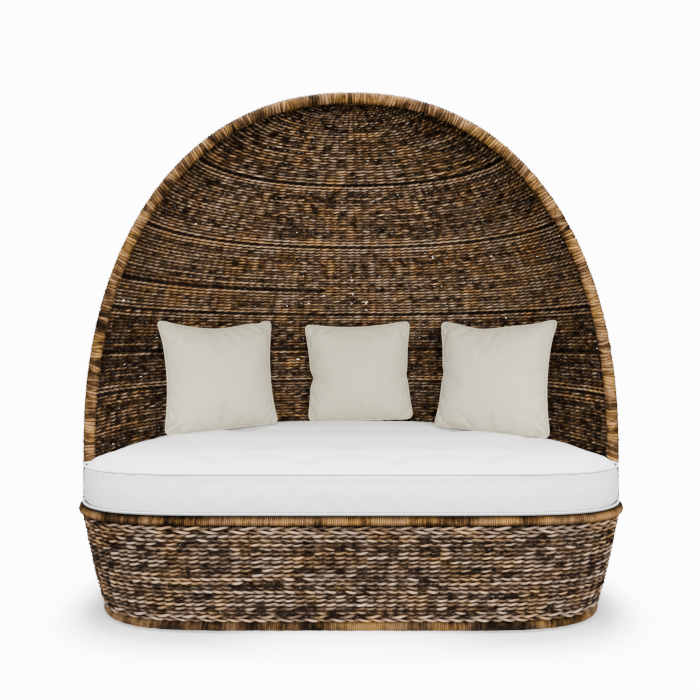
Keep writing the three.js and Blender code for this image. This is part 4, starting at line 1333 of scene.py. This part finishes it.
class DAYBED_OT_upholster_seat(bpy.types.Operator):
    """Cuts, stuffs and tufts the seat cushion, and pipes its seams"""

    bl_idname = "daybed.upholster_seat"
    bl_label = "Upholster the seat"

    def execute(self, context):
        settings = context.scene.daybed_cushion
        canvas = cloth_material("seat_canvas", settings.colour, 0.0011, 0.0003)
        piece = cushion_form()
        cells = piece.modifiers.new("Cells", "REMESH")
        cells.mode = "VOXEL"
        cells.voxel_size = settings.cell
        baked(piece)
        points = points_of(piece)
        rows = tuft_places()
        near = nearest_distance(points[:, :2], np.concatenate(rows))
        top = points[:, 2] > CUSHION_SEAM + 0.012
        dent = 0.5 * settings.tuft_depth * np.exp(-((near / 0.060) ** 2))
        points[:, 2] -= np.where(top, dent, 0)
        move_points(piece, points)
        line = cushion_outline(600)[0]
        seams = [level_line(line, SEAM_INSET, z) for z in (CUSHION_LOW_SEAM, CUSHION_SEAM)]
        held = nearest_distance(points, np.concatenate(seams)) < settings.cell * 0.8
        held |= top & (near < settings.cell)
        held |= points[:, 2] < CUSHION_BASE + 0.004
        stuff(piece, held, settings.pressure, 20, 0.024, -0.01)
        softened(piece)
        points = sewn_seat(points_of(piece), rows, line, settings)
        points[:, 2] = np.clip(points[:, 2], CUSHION_BASE, CUSHION_TOP + 0.004)
        move_points(piece, points)
        seat_cloth_uv(piece)
        # Painted shade: a dark line just beneath the top seam, and the cushion's underside near
        # its base, where its shadow falls
        below = np.clip((CUSHION_SEAM - points[:, 2]) / 0.007, 0, 1)
        seam = (1 - np.abs(2 * below - 0.9)) * (below > 0) * 0.85
        painted_shading = np.clip((CUSHION_UNDERSIDE - points[:, 2]) / 0.004, 0, 1)
        paint_shade(piece, np.maximum(seam, painted_shading))
        dress(piece, canvas, "seat", "seat_canvas", "seat_cover", "seat_foam_core")
        for side, height, high in SEAT_WELTS:
            centres = level_line(line, 0.0002, height)
            welt = piping(f"seat_welt_piping_{side}", centres, SEAT_WELT_ROLL, 0.92, high)
            dress(welt, canvas, "seat", "seat_canvas", f"seat_piping_{side}")
        return {"FINISHED"}


class DAYBED_OT_stuff_pillows(bpy.types.Operator):
    """Stuffs the three throw pillows and leans them on the seat"""

    bl_idname = "daybed.stuff_pillows"
    bl_label = "Stuff the pillows"

    def execute(self, context):
        settings = context.scene.daybed_pillows
        linen = cloth_material("pillow_linen", settings.colour, 0.0014, 0.0004, 0.07)
        for name, ((turn, lean, roll), pulls, ears) in PILLOWS.items():
            body = f"pillow_{name}"
            piece, edge = pillow_form(f"throw_{body}", settings.cells, pulls)
            held = np.zeros(len(piece.data.vertices), bool)
            held[edge] = True
            stuff(piece, held, settings.pressure, 26, 0.05, -0.05)
            points = points_of(piece)
            points[:, 2] *= PILLOW_HALF_DEPTH / np.abs(points[:, 2]).max()
            near = nearest_distance(points, points[edge])
            rise = creases(points, ears) * np.clip(near / 0.02, 0, 1)
            points[:, 2] += rise * np.sign(points[:, 2])
            stand = Matrix.Identity(3)
            for angle, axis in ((turn, "Z"), (90 - lean, "X"), (roll, "Z")):
                stand = stand @ Matrix.Rotation(math.radians(angle), 3, axis)
            low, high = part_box(body + "_piping")
            points = points @ np.array(stand).T + np.array((low + high) / 2)
            move_points(piece, points)
            # Painted shade inside the seam and in the valleys of the folds
            shade = 0.34 * np.exp(-((near / 0.010) ** 2)) + 0.12 * np.exp(-((near / 0.035) ** 2))
            paint_shade(piece, shade + 32 * np.clip(-rise, 0, 1))
            softened(piece)
            dress(piece, linen, body, "pillow_linen", body + "_cover", body + "_insert")
            cord = piping(body + "_welt", points[edge], PILLOW_WELT_ROLL, 0.0, 0.5)
            dress(cord, linen, body, "pillow_linen", body + "_piping")
        return {"FINISHED"}


class DAYBED_OT_set_stage(bpy.types.Operator):
    """Sets the floor, the soft light and the camera"""

    bl_idname = "daybed.set_stage"
    bl_label = "Set the stage"

    def execute(self, context):
        settings = context.scene.daybed_stage
        self.lay_floor(settings)
        self.light_sky(context.scene, settings)
        for name, (place, turn, size, share) in LAMPS.items():
            light = bpy.data.lights.new(name, "AREA")
            light.shape, light.energy = "ELLIPSE", settings.lamp * share
            light.size, light.size_y = size
            lamp = bpy.data.objects.new(name, light)
            lamp.location = place
            lamp.rotation_euler = Euler([math.radians(angle) for angle in turn])
            context.scene.collection.objects.link(lamp)
        camera = bpy.data.cameras.new("camera")
        camera.lens, camera.sensor_width = CAMERA_LENS, 36
        camera.shift_x, camera.shift_y = CAMERA_SHIFT
        view = bpy.data.objects.new("camera", camera)
        view.location, view.rotation_euler = CAMERA_PLACE, (math.pi / 2, 0, 0)
        context.scene.collection.objects.link(view)
        context.scene.camera = view
        return {"FINISHED"}

    def lay_floor(self, settings):
        """An oval floor of rings, whose gap attribute is the distance from the bottom hoop."""
        sides, flat = 120, 0.85
        radius = np.concatenate([[0.30], np.linspace(0.8, 2.6, 40)])[:, None]
        angle = round_angles(sides)
        x, y = radius * np.cos(angle), radius * np.sin(angle) * flat
        places = np.stack(np.broadcast_arrays(x, y, 0.0), -1).reshape(-1, 3)
        edge = np.stack(plan_line(even_turns(400, BOTTOM)[0], **BOTTOM), -1)
        gap = nearest_distance(places[:, :2], edge)
        gap = np.where(np.hypot(places[:, 0], places[:, 1] / flat) < 0.5, 0, gap)
        faces = [ring_quads(len(radius), sides), np.arange(sides)[None, :]]
        floor = mesh_object("studio_floor", places, faces, tones={"gap": gap})
        floor.data.materials.append(floor_material(settings.floor))

    def light_sky(self, scene, settings):
        """A sky that lights evenly and looks plain white behind the daybed."""
        world = bpy.data.worlds.new("Sky")
        scene.world = world
        world.use_nodes = True
        nodes, links = world.node_tree.nodes, world.node_tree.links
        sky, white = nodes["Background"], nodes.new("ShaderNodeBackground")
        for light, strength in ((sky, settings.sky), (white, settings.white)):
            light.inputs["Strength"].default_value = strength
            light.inputs["Color"].default_value = (1, 1, 1, 1)
        pick = nodes.new("ShaderNodeMixShader")
        ray = nodes.new("ShaderNodeLightPath").outputs["Is Camera Ray"]
        for number, source in enumerate((ray, sky.outputs[0], white.outputs[0])):
            links.new(source, pick.inputs[number])
        links.new(pick.outputs[0], nodes["World Output"].inputs["Surface"])


OPERATORS = (
    DAYBED_OT_set_stage,
    DAYBED_OT_finish_frame,
    DAYBED_OT_wind_hoops,
    DAYBED_OT_weave_base,
    DAYBED_OT_weave_canopy,
    DAYBED_OT_upholster_seat,
    DAYBED_OT_stuff_pillows,
)
SETTINGS = (
    ("daybed_cane", CaneSettings),
    ("daybed_base_weave", BaseWeaveSettings),
    ("daybed_canopy_weave", CanopyWeaveSettings),
    ("daybed_cushion", CushionSettings),
    ("daybed_pillows", PillowSettings),
    ("daybed_stage", StageSettings),
)


class DAYBED_PT_build(bpy.types.Panel):
    """Lists the steps that build the daybed, and their settings"""

    bl_label = "Canopy daybed"
    bl_space_type = "VIEW_3D"
    bl_region_type = "UI"
    bl_category = "Daybed"

    def draw(self, context):
        for operator in OPERATORS:
            self.layout.operator(operator.bl_idname)
        for name, group in SETTINGS:
            box = self.layout.box()
            for key in group.__annotations__:
                box.prop(getattr(context.scene, name), key)


def register():
    """Registers the settings, the operators and the panel."""
    for name, group in SETTINGS:
        bpy.utils.register_class(group)
        setattr(bpy.types.Scene, name, bpy.props.PointerProperty(type=group))
    for cls in (*OPERATORS, DAYBED_PT_build):
        bpy.utils.register_class(cls)


def unregister():
    """Takes them away again, the last one first."""
    for cls in (DAYBED_PT_build, *reversed(OPERATORS)):
        bpy.utils.unregister_class(cls)
    for name, group in reversed(SETTINGS):
        delattr(bpy.types.Scene, name)
        bpy.utils.unregister_class(group)


def main():
    """Builds the daybed."""
    register()
    bpy.ops.daybed.set_stage()
    bpy.ops.daybed.finish_frame()
    bpy.ops.daybed.wind_hoops()
    bpy.ops.daybed.weave_base()
    bpy.ops.daybed.weave_canopy()
    bpy.ops.daybed.upholster_seat()
    bpy.ops.daybed.stuff_pillows()


if __name__ == "__main__":
    main()
